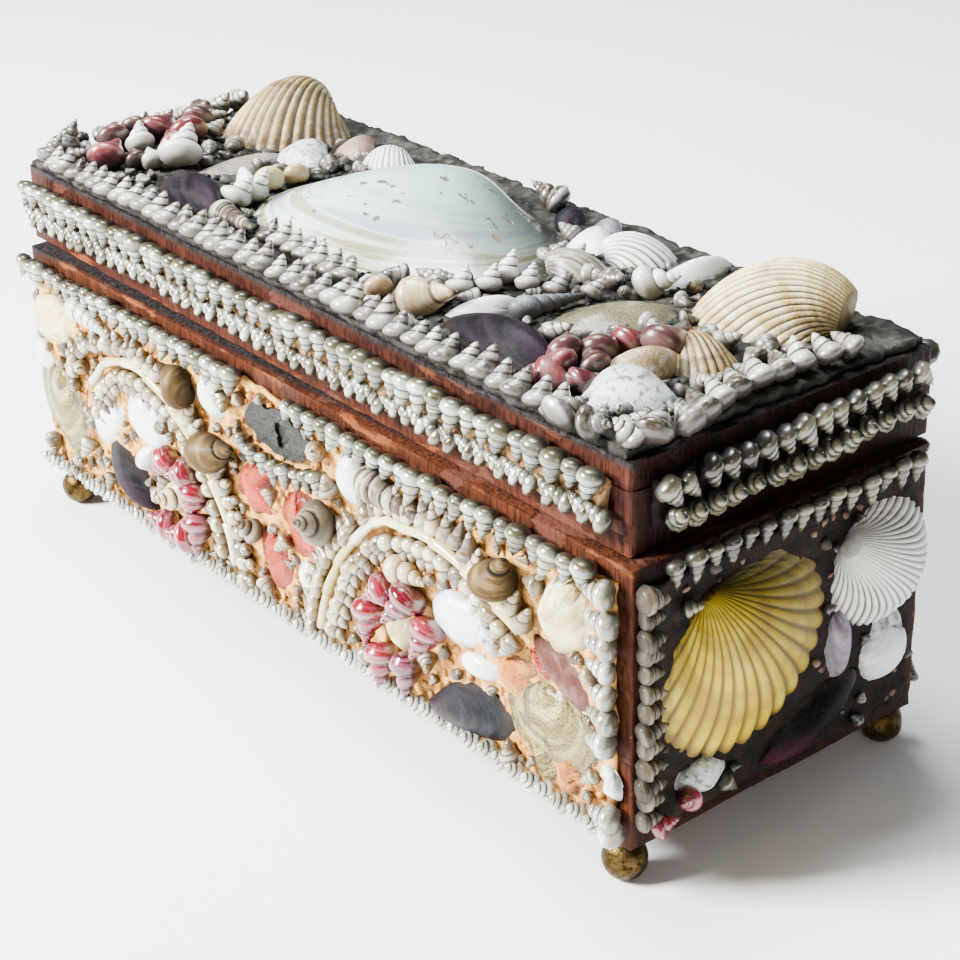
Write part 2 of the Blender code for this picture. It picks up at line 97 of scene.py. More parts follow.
class Face(Enum):
    """A face of the casket: the node it belongs to, its across axis and its outward axis."""

    FRONT = ("box_body", (1, 0, 0), (0, -1, 0))
    BACK = ("box_body", (-1, 0, 0), (0, 1, 0))
    RIGHT = ("box_body", (0, 1, 0), (1, 0, 0))
    LEFT = ("box_body", (0, -1, 0), (-1, 0, 0))
    LID_FRONT = ("lid", (1, 0, 0), (0, -1, 0))
    LID_BACK = ("lid", (-1, 0, 0), (0, 1, 0))
    LID_RIGHT = ("lid", (0, 1, 0), (1, 0, 0))
    LID_LEFT = ("lid", (0, -1, 0), (-1, 0, 0))
    TOP = ("lid", (1, 0, 0), (0, 0, 1))

    @property
    def bed(self) -> float:
        """Height of the putty over this face, in millimetres."""
        return TOP_BED if self is Face.TOP else SIDE_BED

    def half_size(self) -> Vector:
        """Half the size of the node before it was turned.

        Returns:
            Half its length, width and height, in metres.
        """
        low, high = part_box(self.value[0])
        size = (high - low) / 2.0
        if self.value[0] == "lid":
            turn = abs(LID_YAW)
            part = math.cos(turn) ** 2 - math.sin(turn) ** 2
            length = (size.x * math.cos(turn) - size.y * math.sin(turn)) / part
            width = (size.y * math.cos(turn) - size.x * math.sin(turn)) / part
            size = Vector((length, width, size.z))
        return size

    @cache
    def matrix(self) -> Matrix:
        """Return the face's frame: across, up, outwards.

        Returns:
            The matrix from the face's own frame to the casket's.
        """
        low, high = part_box(self.value[0])
        middle = (low + high) / 2.0
        half = self.half_size()
        across, out = (Vector(axis) for axis in self.value[1:])
        up = out.cross(across)
        place = Matrix((across, up, out)).transposed().to_4x4()
        origin = Vector(out[axis] * half[axis] for axis in range(3))
        if self is not Face.TOP:
            origin -= Vector(up[axis] * half[axis] for axis in range(3))
        place.translation = origin
        yaw = LID_YAW if self.value[0] == "lid" else 0.0
        return Matrix.Translation(middle) @ Matrix.Rotation(yaw, 4, "Z") @ place

    def seat(self, across: float, up: float, height: float = 0.0, turn: float = 0.0) -> Matrix:
        """Return the matrix of a spot on the face, in millimetres above the putty and degrees of turn."""
        shift = Matrix.Translation(Vector((across, up, height + self.bed)) * MM)
        return self.matrix() @ shift @ Matrix.Rotation(math.radians(turn), 4, "Z")


def smooth_path(points: list[Spot], spacing: float) -> list[Triple]:
    """Walk a soft curve through points at an even spacing.

    Args:
        points: Corners of the curve, in millimetres.
        spacing: Distance from one step to the next.

    Returns:
        Rows of across, up and heading in degrees.
    """
    fine = []
    ends = [points[0], *points, points[-1]]
    for index in range(len(points) - 1):
        before, first, last, after = (Vector(ends[index + step]) for step in range(4))
        for part in range(24):
            t = part / 24.0
            bend = (2.0 * before - 5.0 * first + 4.0 * last - after) * t * t
            twist = (3.0 * first - before - 3.0 * last + after) * t ** 3
            fine.append(0.5 * ((2.0 * first) + (last - before) * t + bend + twist))
    fine.append(Vector(points[-1]))
    total = sum((second - first).length for first, second in zip(fine, fine[1:]))
    count = max(1, round(total / spacing))
    steps, walked, wanted = [], 0.0, 0.0
    for first, second in zip(fine, fine[1:]):
        reach = (second - first).length
        while walked + reach >= wanted - 1e-6 and len(steps) <= count:
            spot = first.lerp(second, min(1.0, max(0.0, (wanted - walked) / max(reach, 1e-9))))
            heading = math.degrees(math.atan2(second.y - first.y, second.x - first.x))
            steps.append((spot.x, spot.y, heading))
            wanted += total / count
        walked += reach
    return steps


# ---------------------------------------------------------------- pieces


def made_of(made: dict, kind: type) -> list:
    """Return the new parts of one kind that an operator reports."""
    return [item for item in made["geom"] if isinstance(item, kind)]


def raise_cap(mesh: BMesh, cap: list[BMFace], first: bool) -> list[BMFace]:
    """Extrude a cap into a new one, which keeps the old one only the first time.

    Args:
        mesh: Shape to extend.
        cap: The face at its end.
        first: Whether it is the closing face.

    Returns:
        The new cap.
    """
    made = bmesh.ops.extrude_face_region(mesh, geom=cap, use_keep_orig=first)
    if not first:
        bmesh.ops.delete(mesh, geom=cap, context="FACES_ONLY")
    return made_of(made, BMFace)


def corners_of(spots: list[Vector]) -> tuple[Vector, Vector]:
    """Return the lowest and the highest corner round some spots."""
    return tuple(Vector(pick(spot[axis] for spot in spots) for axis in range(3)) for pick in (min, max))


def to_data(mesh: BMesh, name: str) -> Mesh:
    """Turn a bmesh into mesh data, and free it.

    Args:
        mesh: Shape to turn.
        name: Name of the data.

    Returns:
        The mesh data.
    """
    data = bpy.data.meshes.new(name)
    mesh.to_mesh(data)
    mesh.free()
    return data


def place_object(name: str, data: bpy.types.ID) -> Object:
    """Put data into the scene as an object.

    Args:
        name: Name of the object.
        data: What it shows.

    Returns:
        The object.
    """
    made = bpy.data.objects.new(name, data)
    bpy.context.scene.collection.objects.link(made)
    return made


def clamp(value: float) -> float:
    """Keep a value between 0 and 1."""
    return max(0.0, min(1.0, value))


def make_piece(name: str, mesh: BMesh, material: Material, slot: str,
               replaces: tuple[str, ...] = (), smooth: bool = True) -> Object:
    """Turn a bmesh into a piece that rides on the casket.

    Args:
        name: Name of the piece.
        mesh: Shape in the row frame; it is freed.
        material: Finish of the piece.
        slot: Slot of the record that the finish stands for; it is not used.
        replaces: CAD nodes that this piece stands for.
        smooth: Whether its faces are shaded smooth.

    Returns:
        The object.
    """
    bmesh.ops.recalc_face_normals(mesh, faces=mesh.faces[:])
    data = to_data(mesh, name)
    if smooth:
        data.shade_smooth()
    data.materials.append(material)
    piece = place_object(name, data)
    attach(piece, "root")
    if replaces:
        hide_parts(*replaces)
    log.info("%s: %d faces", name, len(data.polygons))
    return piece


def block(low: Triple, high: Triple) -> BMesh:
    """Return a closed block between two corners.

    Args:
        low: Lowest corner, in metres.
        high: Highest corner.

    Returns:
        The block.
    """
    mesh = bmesh.new()
    bmesh.ops.create_cube(mesh, size=1.0)
    size = Vector(high) - Vector(low)
    bmesh.ops.scale(mesh, vec=size, verts=mesh.verts[:])
    bmesh.ops.translate(mesh, vec=(Vector(low) + Vector(high)) / 2.0, verts=mesh.verts[:])
    return mesh


# ---------------------------------------------------------------- finishes


def linear(colour: str) -> tuple[float, float, float, float]:
    """Turn an sRGB hex colour into linear light.

    Args:
        colour: Hex colour with its hash sign.

    Returns:
        Red, green, blue and an alpha of 1.
    """
    parts = [int(colour[index:index + 2], 16) / 255.0 for index in (1, 3, 5)]
    made = [part / 12.92 if part <= 0.04045 else ((part + 0.055) / 1.055) ** 2.4 for part in parts]
    return (*made, 1.0)


def add_node(tree: bpy.types.NodeTree, kind: str, settings: dict,
             links: dict | None = None) -> bpy.types.Node:
    """Add one node to a material.

    Args:
        tree: Tree of the material.
        kind: Last part of the node's type.
        settings: Values by the name of a property or the name or number of an input.
        links: Sockets by the name or number of the input they feed.

    Returns:
        The node.
    """
    made = tree.nodes.new("ShaderNode" + kind)
    for key, value in settings.items():
        if isinstance(key, str) and hasattr(made, key):
            setattr(made, key, value)
        else:
            made.inputs[key].default_value = value
    for key, socket in (links or {}).items():
        tree.links.new(socket, made.inputs[key])
    return made


class Paint:
    """A material under construction, with the few steps that every finish shares."""

    def __init__(self, name: str) -> None:
        """Start a material with a bare shader.

        Args:
            name: Name of the material.
        """
        self.material = bpy.data.materials.new(name)
        self.material.use_nodes = True
        self.tree = self.material.node_tree
        self.shader = self.tree.nodes["Principled BSDF"]
        self.object = self.add("TexCoord", {}).outputs["Object"]

    def add(self, kind: str, settings: dict, links: dict | None = None) -> bpy.types.Node:
        """Add a node to this material."""
        return add_node(self.tree, kind, settings, links)

    def attribute(self, name: str) -> Socket:
        """Return a number stored on the mesh."""
        return self.add("Attribute", {"attribute_name": name}).outputs["Fac"]

    def cloud(self, source: Socket, stretch: Triple, scale: float = 1.0, detail: float = 3.0,
              distortion: float = 0.0) -> Socket:
        """Return noise over any coordinates, finer on each axis by its stretch.

        Args:
            source: Coordinates.
            stretch: How much finer the noise is on each axis.
            scale: Lumps per unit.
            detail: Octaves of finer noise.
            distortion: How far it is bent.

        Returns:
            The noise, about 0 to 1.
        """
        place = self.add("Mapping", {"Scale": stretch}, {"Vector": source}).outputs[0]
        settings = {"Scale": scale, "Detail": detail, "Distortion": distortion}
        return self.add("TexNoise", settings, {"Vector": place}).outputs["Fac"]

    def grain(self, size: float, detail: float = 4.0, stretch: Triple = (1, 1, 1)) -> Socket:
        """Return noise over the object, whose lumps have a size in millimetres."""
        return self.cloud(self.object, stretch, 1.0 / (size * MM), detail)

    def chart(self) -> tuple[Socket, Socket, Socket]:
        """Return a valve's growth, its place round the rim, and both as coordinates."""
        growth, around = self.attribute("growth"), self.attribute("around")
        return growth, around, self.add("CombineXYZ", {}, {"X": growth, "Y": around}).outputs[0]

    def times(self, first: Number, second: Number) -> Socket:
        """Multiply two numbers."""
        return self.maths("MULTIPLY", first, second)

    def plus(self, first: Number, second: Number) -> Socket:
        """Add two numbers."""
        return self.maths("ADD", first, second)

    def share(self, source: Socket, low: float, high: float, most: float = 1.0) -> Socket:
        """Triple the part of a number between two limits to 0 and the most."""
        made = self.add("MapRange", {"From Min": low, "From Max": high}, {"Value": source}).outputs[0]
        return made if most == 1.0 else self.times(made, most)

    def mix(self, amount: Socket, first: Colour, second: Colour) -> Socket:
        """Mix two colours, each a hex value or a socket.

        Args:
            amount: Share of the second.
            first: Colour at 0.
            second: Colour at 1.

        Returns:
            The mixed colour.
        """
        settings, links = {"data_type": "RGBA"}, {0: amount}
        for slot, value in ((6, first), (7, second)):
            if isinstance(value, str):
                settings[slot] = linear(value)
            else:
                links[slot] = value
        return self.add("Mix", settings, links).outputs[2]

    def maths(self, operation: str, first: Number, second: Number) -> Socket:
        """Combine two numbers, each a value or a socket.

        Args:
            operation: Name of the operation.
            first: First number.
            second: Second number.

        Returns:
            The result.
        """
        settings, links = {"operation": operation}, {}
        for slot, value in ((0, first), (1, second)):
            if isinstance(value, (int, float)):
                settings[slot] = value
            else:
                links[slot] = value
        return self.add("Math", settings, links).outputs[0]

    def bump(self, height: Socket, depth: float, under: Socket | None = None) -> Socket:
        """Raise the surface by a height whose full range is a depth in millimetres.

        Args:
            height: Height, 0 to 1.
            depth: Its full range, in millimetres.
            under: Relief that this one lies on.

        Returns:
            The normal.
        """
        links = {"Height": height}
        if under:
            links["Normal"] = under
        return self.add("Bump", {"Strength": 1.0, "Distance": depth * MM}, links).outputs[0]

    def finish(self, colour: Socket, rough: Number, normal: Socket, **constants: float) -> Material:
        """Join colour, roughness and relief to the shader and set its constants.

        Args:
            colour: Base colour.
            rough: Roughness.
            normal: Relief.
            constants: Other inputs by name, with _ for a space.

        Returns:
            The material.
        """
        for name, value in (("Base Color", colour), ("Roughness", rough), ("Normal", normal)):
            if isinstance(value, (int, float)):
                self.shader.inputs[name].default_value = value
            else:
                self.tree.links.new(value, self.shader.inputs[name])
        for name, value in constants.items():
            self.shader.inputs[name.replace("_", " ")].default_value = value
        return self.material


# ---------------------------------------------------------------- shells


class Form(Enum):
    """Kinds of half shell: fan (degrees), shoulder, ribs, rib depth, wobble, rim points, growth rings."""

    COCKLE = (86.0, 0.62, 27, 0.038, 0.0, 220, 44)
    FINE_COCKLE = (86.0, 0.62, 34, 0.020, 0.0, 240, 44)
    SCALLOP = (74.0, 0.48, 21, 0.024, 0.0, 220, 44)
    SMALL_COCKLE = (86.0, 0.66, 19, 0.030, 0.0, 132, 26)
    CLAM = (90.0, 0.85, 0, 0.0, 0.004, 64, 24)
    ARK = (90.0, 0.80, 26, 0.018, 0.0, 150, 22)
    PEARL = (90.0, 0.80, 0, 0.0, 0.006, 120, 48)
    MUSSEL = (58.0, 0.52, 0, 0.0, 0.006, 64, 34)
    PLATE = (90.0, 0.70, 0, 0.0, 0.065, 96, 22)
    BROKEN = (90.0, 0.62, 0, 0.0, 0.17, 84, 16)
    LIMPET = (90.0, 1.00, 18, 0.012, 0.01, 90, 18)


def spiral_rate(ratio: float) -> float:
    """Find how fast a valve's spiral must grow.

    Args:
        ratio: Depth of the valve over its reach.

    Returns:
        The growth rate, per radian.
    """
    low, high = 0.2, 12.0
    for _ in range(40):
        rate = (low + high) / 2.0
        turn = math.atan(1.0 / rate)
        if math.exp(-rate * turn) * math.sin(turn) > ratio:
            low = rate
        else:
            high = rate
    return rate


VALVE_SINK = 0.8
# How far a valve is darkened up from the putty: dirt and painted contact shade.
VALVE_GRIME_AND_SHADE_FOOT = 0.9
VALVE_GRIME_AND_SHADE_REACH = 1.6
FLAKY_RELIEF = 0.35
FINE_RELIEF = 0.12
GROWTH_PACE = 1.25


@dataclass(frozen=True)
class Valve:
    """One half shell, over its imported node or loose; sizes in millimetres, the beak in degrees."""

    node: str
    face: Face
    form: Form
    span: float
    reach: float
    depth: float
    beak: float
    finish: str
    slot: str
    skew: float = 0.0
    loose: Spot | None = None
    shift: Spot = (0.0, 0.0)

    def outline(self) -> list[tuple[float, float, float, float]]:
        """Return the rim as rows of across, away from the beak, place round the rim and rib height.

        Returns:
            Points of the rim, the beak first.
        """
        fan, blunt, ribs, rib_depth, wobble, points, _ = self.form.value
        rows = []
        phase = sum(map(ord, self.node)) % 7
        for index in range(1, points):
            share = 2.0 * index / points - 1.0
            turn = math.sin(share * math.pi / 2.0)
            crest = abs(math.cos(0.5 * ribs * math.pi * turn)) ** 0.7 if ribs else 1.0
            reach = math.cos(turn * math.pi / 2.0) ** blunt * (1.0 - 2.0 * rib_depth * (1.0 - crest))
            waves = math.sin(5.0 * share + phase) + 0.6 * math.sin(11.0 * share + 2.0 * phase)
            reach *= 1.0 + wobble * (waves + 0.4 * math.sin(23.0 * share))
            angle = turn * math.radians(fan) + self.skew * math.cos(turn * math.pi / 2.0)
            rows.append((reach * math.sin(angle), reach * math.cos(angle), turn, crest))
        sides = [row[0] for row in rows]
        widest, longest = max(sides) - min(sides), max(row[1] for row in rows)
        beak = (0.0, 0.0, 0.0, 1.0)
        return [beak] + [(row[0] / widest, row[1] / longest, *row[2:]) for row in rows]

    def shape(self) -> BMesh:
        """Grow the valve along its spiral, rim on the plane and beak at the origin.

        Returns:
            The closed valve.
        """
        outline = self.outline()
        rings = self.form.value[6]
        rate = spiral_rate(self.depth / self.reach)
        mesh = bmesh.new()
        layers = {key: mesh.verts.layers.float.new(key) for key in ("growth", "around", "rib")}
        bmesh.ops.create_circle(mesh, cap_ends=True, segments=len(outline), radius=1.0)
        mesh.verts.ensure_lookup_table()
        for vert, (across, away, around, crest) in zip(mesh.verts, outline):
            vert.co = Vector((across * self.span, -away * self.reach, 0.0)) * MM
            vert[layers["growth"]], vert[layers["around"]], vert[layers["rib"]] = 1.0, around, crest
        top = mesh.faces[:]
        turned = 0.0
        for ring in range(1, rings + 1):
            top = raise_cap(mesh, top, ring == 1)
            verts = top[0].verts[:]
            turn = BEAK_TURN * (ring / rings) ** GROWTH_PACE
            shrink = math.exp(-rate * (turn - turned))
            fold = Matrix.Rotation(turned - turn, 4, "X") @ Matrix.Scale(shrink, 4)
            bmesh.ops.transform(mesh, matrix=fold, verts=verts)
            for vert in verts:
                vert[layers["growth"]] = math.exp(-rate * turn)
            turned = turn
        bmesh.ops.remove_doubles(mesh, verts=mesh.verts[:], dist=1e-6)
        self.weather(mesh, layers)
        return mesh

    def weather(self, mesh: BMesh, layers: dict) -> None:
        """Raise the growth lines and small dents.

        Args:
            mesh: Valve to mark.
            layers: Its layers by name.
        """
        mesh.normal_update()
        flaky = self.form in (Form.PLATE, Form.BROKEN)
        depth = (FLAKY_RELIEF if flaky else FINE_RELIEF) * MM
        seed = float(sum(map(ord, self.node)) % 97)
        for vert in mesh.verts:
            growth = vert[layers["growth"]]
            if vert.normal.z < -0.5:
                continue
            pace = 16.0 if flaky else 30.0
            line = noise.noise(Vector((growth * pace, vert[layers["around"]] * 0.7, seed)))
            dent = noise.noise(vert.co / (6.0 * MM) + Vector((seed, 0.0, 0.0)))
            swell = 1.6 * dent if flaky else 0.5 * dent
            vert.co += vert.normal * depth * (line + swell) * min(1.0, growth * 2.0)

    def build(self, finishes: Finishes) -> Object:
        """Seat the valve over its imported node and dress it.

        Args:
            finishes: Materials by their name.

        Returns:
            The piece.
        """
        mesh = self.shape()
        turn = self.face.matrix().to_3x3().to_4x4() @ Matrix.Rotation(math.radians(self.beak - 90.0), 4, "Z")
        bmesh.ops.transform(mesh, matrix=turn, verts=mesh.verts[:])
        if self.loose:
            low = high = self.face.seat(*self.loose).translation
        else:
            low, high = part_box(self.node)
        corners = corners_of([vert.co for vert in mesh.verts])
        shift = (low + high) / 2.0 - (corners[0] + corners[1]) / 2.0
        out = Vector(self.face.value[2])
        seat = min(low.dot(out), high.dot(out)) - min(corners[0].dot(out), corners[1].dot(out))
        shift += out * (seat - VALVE_SINK * MM - shift.dot(out))
        shift += self.face.matrix().to_3x3() @ Vector((*self.shift, 0.0)) * MM
        bmesh.ops.translate(mesh, vec=shift, verts=mesh.verts[:])
        # Mark the points near the putty; the finish darkens them, mottled, as dirt and painted contact shade.
        foot = min(vert.co.dot(out) for vert in mesh.verts) + VALVE_GRIME_AND_SHADE_FOOT * MM
        layer = mesh.verts.layers.float.new("low")
        for vert in mesh.verts:
            vert[layer] = clamp(1.0 - (vert.co.dot(out) - foot) / (VALVE_GRIME_AND_SHADE_REACH * MM))
        stands_for = () if self.loose else (self.node,)
        return make_piece(self.node + "_shell", mesh, finishes[self.finish], self.slot, stands_for)


@dataclass(frozen=True)
class Whorls:
    """A coiled shell of one unit's length and girth, its apex towards +X."""

    turns: int = 3
    steps: int = 8
    strips: int = 3
    growth: float = 0.62
    bulge: float = 0.16
    ribs: int = 0
    rib_depth: float = 0.0

    def shape(self) -> Mesh:
        """Wind the whorls towards the apex, and close the tip and the base.

        Returns:
            The unit shell.
        """
        mesh = bmesh.new()
        suture, lap, band = (mesh.verts.layers.float.new(key) for key in ("suture", "lap", "band"))
        path = []
        for index in range(self.strips + 1):
            part = index / self.strips
            away = self.growth + (1.0 - self.growth) * part
            swell = 1.0 + self.bulge * math.sin(math.pi * part ** 0.85) ** 0.8
            path.append(mesh.verts.new((-away, 0.0, 0.5 * away * swell)))
            path[-1][suture], path[-1][band] = abs(2.0 * part - 1.0) ** 3, part
        edges = [mesh.edges.new(pair) for pair in zip(path, path[1:])]
        shrink = Matrix.Scale(self.growth ** (1.0 / self.steps), 4)
        wind = Matrix.Rotation(2.0 * math.pi / self.steps, 4, "X") @ shrink
        turns = [path]
        for step in range(1, self.steps * self.turns + 1):
            made = bmesh.ops.extrude_edge_only(mesh, edges=edges)
            edges = made_of(made, BMEdge)
            turns.append(made_of(made, BMVert))
            bmesh.ops.transform(mesh, matrix=wind, verts=turns[-1])
            for vert in turns[-1]:
                vert[lap] = step / self.steps
        self.square_base(turns, suture)
        bmesh.ops.remove_doubles(mesh, verts=mesh.verts[:], dist=1e-5)
        tip = self.growth ** self.turns + 1e-4
        ends = [vert for vert in mesh.verts if vert.is_boundary and -vert.co.x < tip]
        bmesh.ops.pointmerge(mesh, verts=ends, merge_co=(-tip * 0.3, 0.0, 0.0))
        self.close_base(mesh, suture, band)
        self.flute(mesh)
        low, high = corners_of([vert.co for vert in mesh.verts])
        bmesh.ops.translate(mesh, vec=(-(low.x + high.x) / 2.0, 0.0, 0.0), verts=mesh.verts[:])
        girth = 2.0 / (high.y - low.y + high.z - low.z)
        bmesh.ops.scale(mesh, vec=(1.0 / (high.x - low.x), girth, girth), verts=mesh.verts[:])
        bmesh.ops.recalc_face_normals(mesh, faces=mesh.faces[:])
        return to_data(mesh, "whorls")

    def square_base(self, turns: list, suture: Layer) -> None:
        """Fade the lip into the whorl above and level the body whorl's base, whose rim has no seam.

        Args:
            turns: Points of each step, from the lip on.
            suture: Layer of the seams.
        """
        reach = max(1, self.steps // 2)
        for step, verts in enumerate(turns[:self.steps]):
            fade = max(0.0, 1.0 - step / reach) ** 1.5
            level = (1.0 - self.growth) * (0.45 + 0.5 * fade) * (1.0 - step / self.steps)
            top = max(verts, key=lambda vert: vert.co.x)
            inner, start = math.hypot(top.co.y, top.co.z), top.co.x
            span = start - min(vert.co.x for vert in verts)
            for vert in verts:
                part = (start - vert.co.x) / span
                girth = math.hypot(vert.co.y, vert.co.z)
                shrink = 1.0 - fade * (1.0 - inner * (1.0 - 0.25 * part) / girth)
                vert.co = Vector((vert.co.x + level * part, vert.co.y * shrink, vert.co.z * shrink))
                vert[suture] *= 1.0 if part < 0.9 else 0.0

    def close_base(self, mesh: BMesh, suture: Layer,
                   band: Layer) -> None:
        """Round the base under the body whorl.

        Args:
            mesh: Shell to close.
            suture: Layer of the seams.
            band: Layer across a whorl.
        """
        rim = [edge for edge in mesh.edges if edge.is_boundary]
        for drop, shrink, foot in ((-0.05, 0.92, 1.4), (-0.05, 0.74, 1.8), (-0.03, 0.5, 2.0)):
            made = bmesh.ops.extrude_edge_only(mesh, edges=rim)
            rim, verts = made_of(made, BMEdge), made_of(made, BMVert)
            bmesh.ops.scale(mesh, vec=(1.0, shrink, shrink), verts=verts)
            bmesh.ops.translate(mesh, vec=(drop, 0.0, 0.0), verts=verts)
            for vert in verts:
                vert[suture], vert[band] = 0.0, foot
        centre = sum((vert.co for vert in verts), Vector()) / len(verts)
        bmesh.ops.pointmerge(mesh, verts=verts, merge_co=centre - Vector((0.01, 0.0, 0.0)))

    def flute(self, mesh: BMesh) -> None:
        """Press ribs into the whorls, running towards the apex.

        Args:
            mesh: Shell to rib.
        """
        for vert in mesh.verts if self.ribs else []:
            turn = math.atan2(vert.co.z, vert.co.y)
            swell = 1.0 + self.rib_depth * math.cos(self.ribs * turn)
            vert.co.y *= swell
            vert.co.z *= swell


@dataclass(frozen=True)
class Flake:
    """A small half shell of one unit, hinge towards +X, hollow side down."""

    sides: int = 14
    depth: float = 0.42
    fan: float = 0.55

    def shape(self) -> Mesh:
        """Raise a dome whose top leans to the hinge.

        Returns:
            The unit flake.
        """
        mesh = bmesh.new()
        bmesh.ops.create_circle(mesh, cap_ends=True, segments=self.sides, radius=0.5)
        for vert in mesh.verts:
            vert.co.y *= 1.0 - self.fan * max(0.0, vert.co.x)
        top = mesh.faces[:]
        rises = ((0.82, 0.05, 0.45), (0.62, 0.08, 0.32), (0.35, 0.10, 0.23))
        for step, (shrink, drift, rise) in enumerate(rises):
            top = raise_cap(mesh, top, step == 0)
            middle = top[0].calc_center_median()
            space = Matrix.Translation(-middle)
            bmesh.ops.scale(mesh, vec=(shrink, shrink, 1.0), space=space, verts=top[0].verts[:])
            bmesh.ops.translate(mesh, vec=(drift, 0.0, rise * self.depth), verts=top[0].verts[:])
        bmesh.ops.recalc_face_normals(mesh, faces=mesh.faces[:])
        return to_data(mesh, "flake")


@dataclass(frozen=True)
class Crumb:
    """A broken scrap of putty or shell of one unit."""

    roughness: float = 0.5
    flatness: float = 0.6

    def shape(self) -> Mesh:
        """Knock a small lump out of round.

        Returns:
            The unit crumb.
        """
        mesh = bmesh.new()
        bmesh.ops.create_icosphere(mesh, subdivisions=1, radius=0.5)
        for vert in mesh.verts:
            vert.co *= 1.0 + self.roughness * noise.noise(vert.co * 2.3)
            vert.co.z *= self.flatness
        return to_data(mesh, "crumb")


MOUTH_DOWN = 180.0
ROLL_SPREAD = 13.0
LEAN_RISE = 0.3
# How far a coiled shell is darkened up from the putty, by its girth: dirt and painted contact shade.
COIL_GRIME_AND_SHADE_FOOT = 0.12
COIL_GRIME_AND_SHADE_REACH = 0.42


class Cluster:
    """Many copies of small shells that become one piece."""

    def __init__(self, face: Face) -> None:
        """Start an empty cluster on a face."""
        self.face = face
        self.mesh = bmesh.new()

    def add(self, master: Mesh, across: float, up: float, apex: float, size: Spot, lean: float = 0.0,
            tint: float | None = None, roll: float | None = None, sink: float = 0.3) -> None:
        """Press one coiled shell into the putty.

        Args:
            master: Shape of one unit.
            across: Millimetres across the face.
            up: Millimetres up the face.
            apex: Direction of the apex, in degrees.
            size: Length and girth, in millimetres.
            lean: Degrees that the apex lifts off the face.
            tint: Shade between 0 and 1, drawn by chance if left out.
            roll: Degrees about its own axis, with the mouth down and a little chance if left out.
            sink: Share of the girth between its axis and the putty.
        """
        length, girth = size
        if roll is None:
            roll = CHANCE.gauss(MOUTH_DOWN if master.name.startswith("whorls") else 0.0, ROLL_SPREAD)
        tint = CHANCE.random() if tint is None else tint
        height = girth * sink + LEAN_RISE * length * math.sin(math.radians(lean))
        turn = Matrix.Rotation(math.radians(-lean), 4, "Y") @ Matrix.Rotation(math.radians(roll), 4, "X")
        scale = Matrix.Diagonal(Vector((length, girth, girth, 1000.0)) * MM)
        copy = master.copy()
        copy.transform(self.face.seat(across, up, height, apex) @ turn @ scale)
        # Mark the points near the putty, which the finish darkens as dirt and painted contact shade.
        out = self.face.matrix().to_3x3().col[2]
        foot = self.face.seat(across, up, self.face.bed).translation.dot(out) + COIL_GRIME_AND_SHADE_FOOT * girth * MM
        reach = COIL_GRIME_AND_SHADE_REACH * girth * MM
        low = [clamp(1.0 - (vert.co.dot(out) - foot) / reach) for vert in copy.vertices]
        for key, values in (("tint", [tint] * len(low)), ("low", low)):
            copy.attributes.new(key, "FLOAT", "POINT").data.foreach_set("value", values)
        self.mesh.from_mesh(copy)
        bpy.data.meshes.remove(copy)

    def finish(self, name: str, material: Material, slot: str, replaces: tuple[str, ...] = ()) -> Object:
        """Make the piece."""
        return make_piece(name, self.mesh, material, slot, replaces)


# ---------------------------------------------------------------- finishes of this casket


@dataclass(frozen=True)
class ShellFinish:
    """Calcite shell: chalky or glossy, with growth bands and streaks from the beak, darker between the ribs
    from stain and painted shade, and for some one side darkened as painted shade.
    """

    crest: str
    groove_stain_and_shade: str
    band: str
    blotch: str
    bands: float = 7.0
    streaks: float = 0.0
    banding: float = 0.6
    blotching: float = 0.45
    blotch_size: float = 5.0
    lines: float = 60.0
    relief: float = 0.12
    rough: float = 0.5
    coat: float = 0.0
    tip: str = ""
    rim: str = ""
    # How much the valve darkens near the putty, as dirt and painted shade.
    dirt: float = 0.8
    shine: float = 0.5
    # Colour of one side darkened as painted shade.
    side: str = ""

    def build(self, name: str) -> Material:
        """Lay bands, streaks and stains over the shell's own colour.

        Args:
            name: Name of the material.

        Returns:
            The material.
        """
        paint = Paint(name)
        growth, around, chart = paint.chart()
        bands = paint.share(paint.cloud(chart, (1.0, 0.12, 1.0), self.bands), 0.45, 0.62, self.banding)
        colour = paint.mix(bands, self.crest, self.band)
        if self.streaks:
            streaks = paint.share(paint.cloud(chart, (0.4, self.streaks, 1.0)), 0.5, 0.62, 0.7)
            colour = paint.mix(streaks, colour, self.band)
        stain = paint.share(paint.grain(self.blotch_size), 0.52, 0.66, self.blotching)
        colour = paint.mix(stain, colour, self.blotch)
        # Darken between the ribs: stain and painted shade.
        colour = paint.mix(paint.share(paint.attribute("rib"), 0.3, 0.85), self.groove_stain_and_shade, colour)
        # Darken one side of the valve, across its fan, as painted shade.
        if self.side:
            colour = paint.mix(paint.share(around, -0.4, 0.75, 0.85), colour, self.side)
        if self.tip:
            colour = paint.mix(paint.share(growth, 0.16, 0.5), self.tip, colour)
        if self.rim:
            colour = paint.mix(paint.share(growth, 0.86, 1.0), colour, self.rim)
        # Darken the valve near the putty, mottled: dirt and painted contact shade.
        dirt = paint.times(paint.attribute("low"), paint.share(paint.grain(3.0), 0.25, 0.7))
        colour = paint.mix(paint.times(dirt, self.dirt), colour, "#3b2f26")
        saw = {"wave_profile": "SAW", "bands_direction": "X", "Scale": self.lines / 6.0, "Distortion": 1.2,
               "Detail": 2.0, "Detail Scale": 2.0}
        wave = paint.add("TexWave", saw, {"Vector": chart})
        normal = paint.bump(wave.outputs["Fac"], self.relief)
        normal = paint.bump(paint.grain(0.9, 5.0), self.relief * 0.8, normal)
        rough = paint.plus(paint.times(paint.grain(2.5), 0.25), self.rough - 0.12)
        return paint.finish(colour, rough, normal, IOR=1.55, Specular_IOR_Level=self.shine,
                            Coat_Weight=self.coat, Coat_Roughness=0.15)


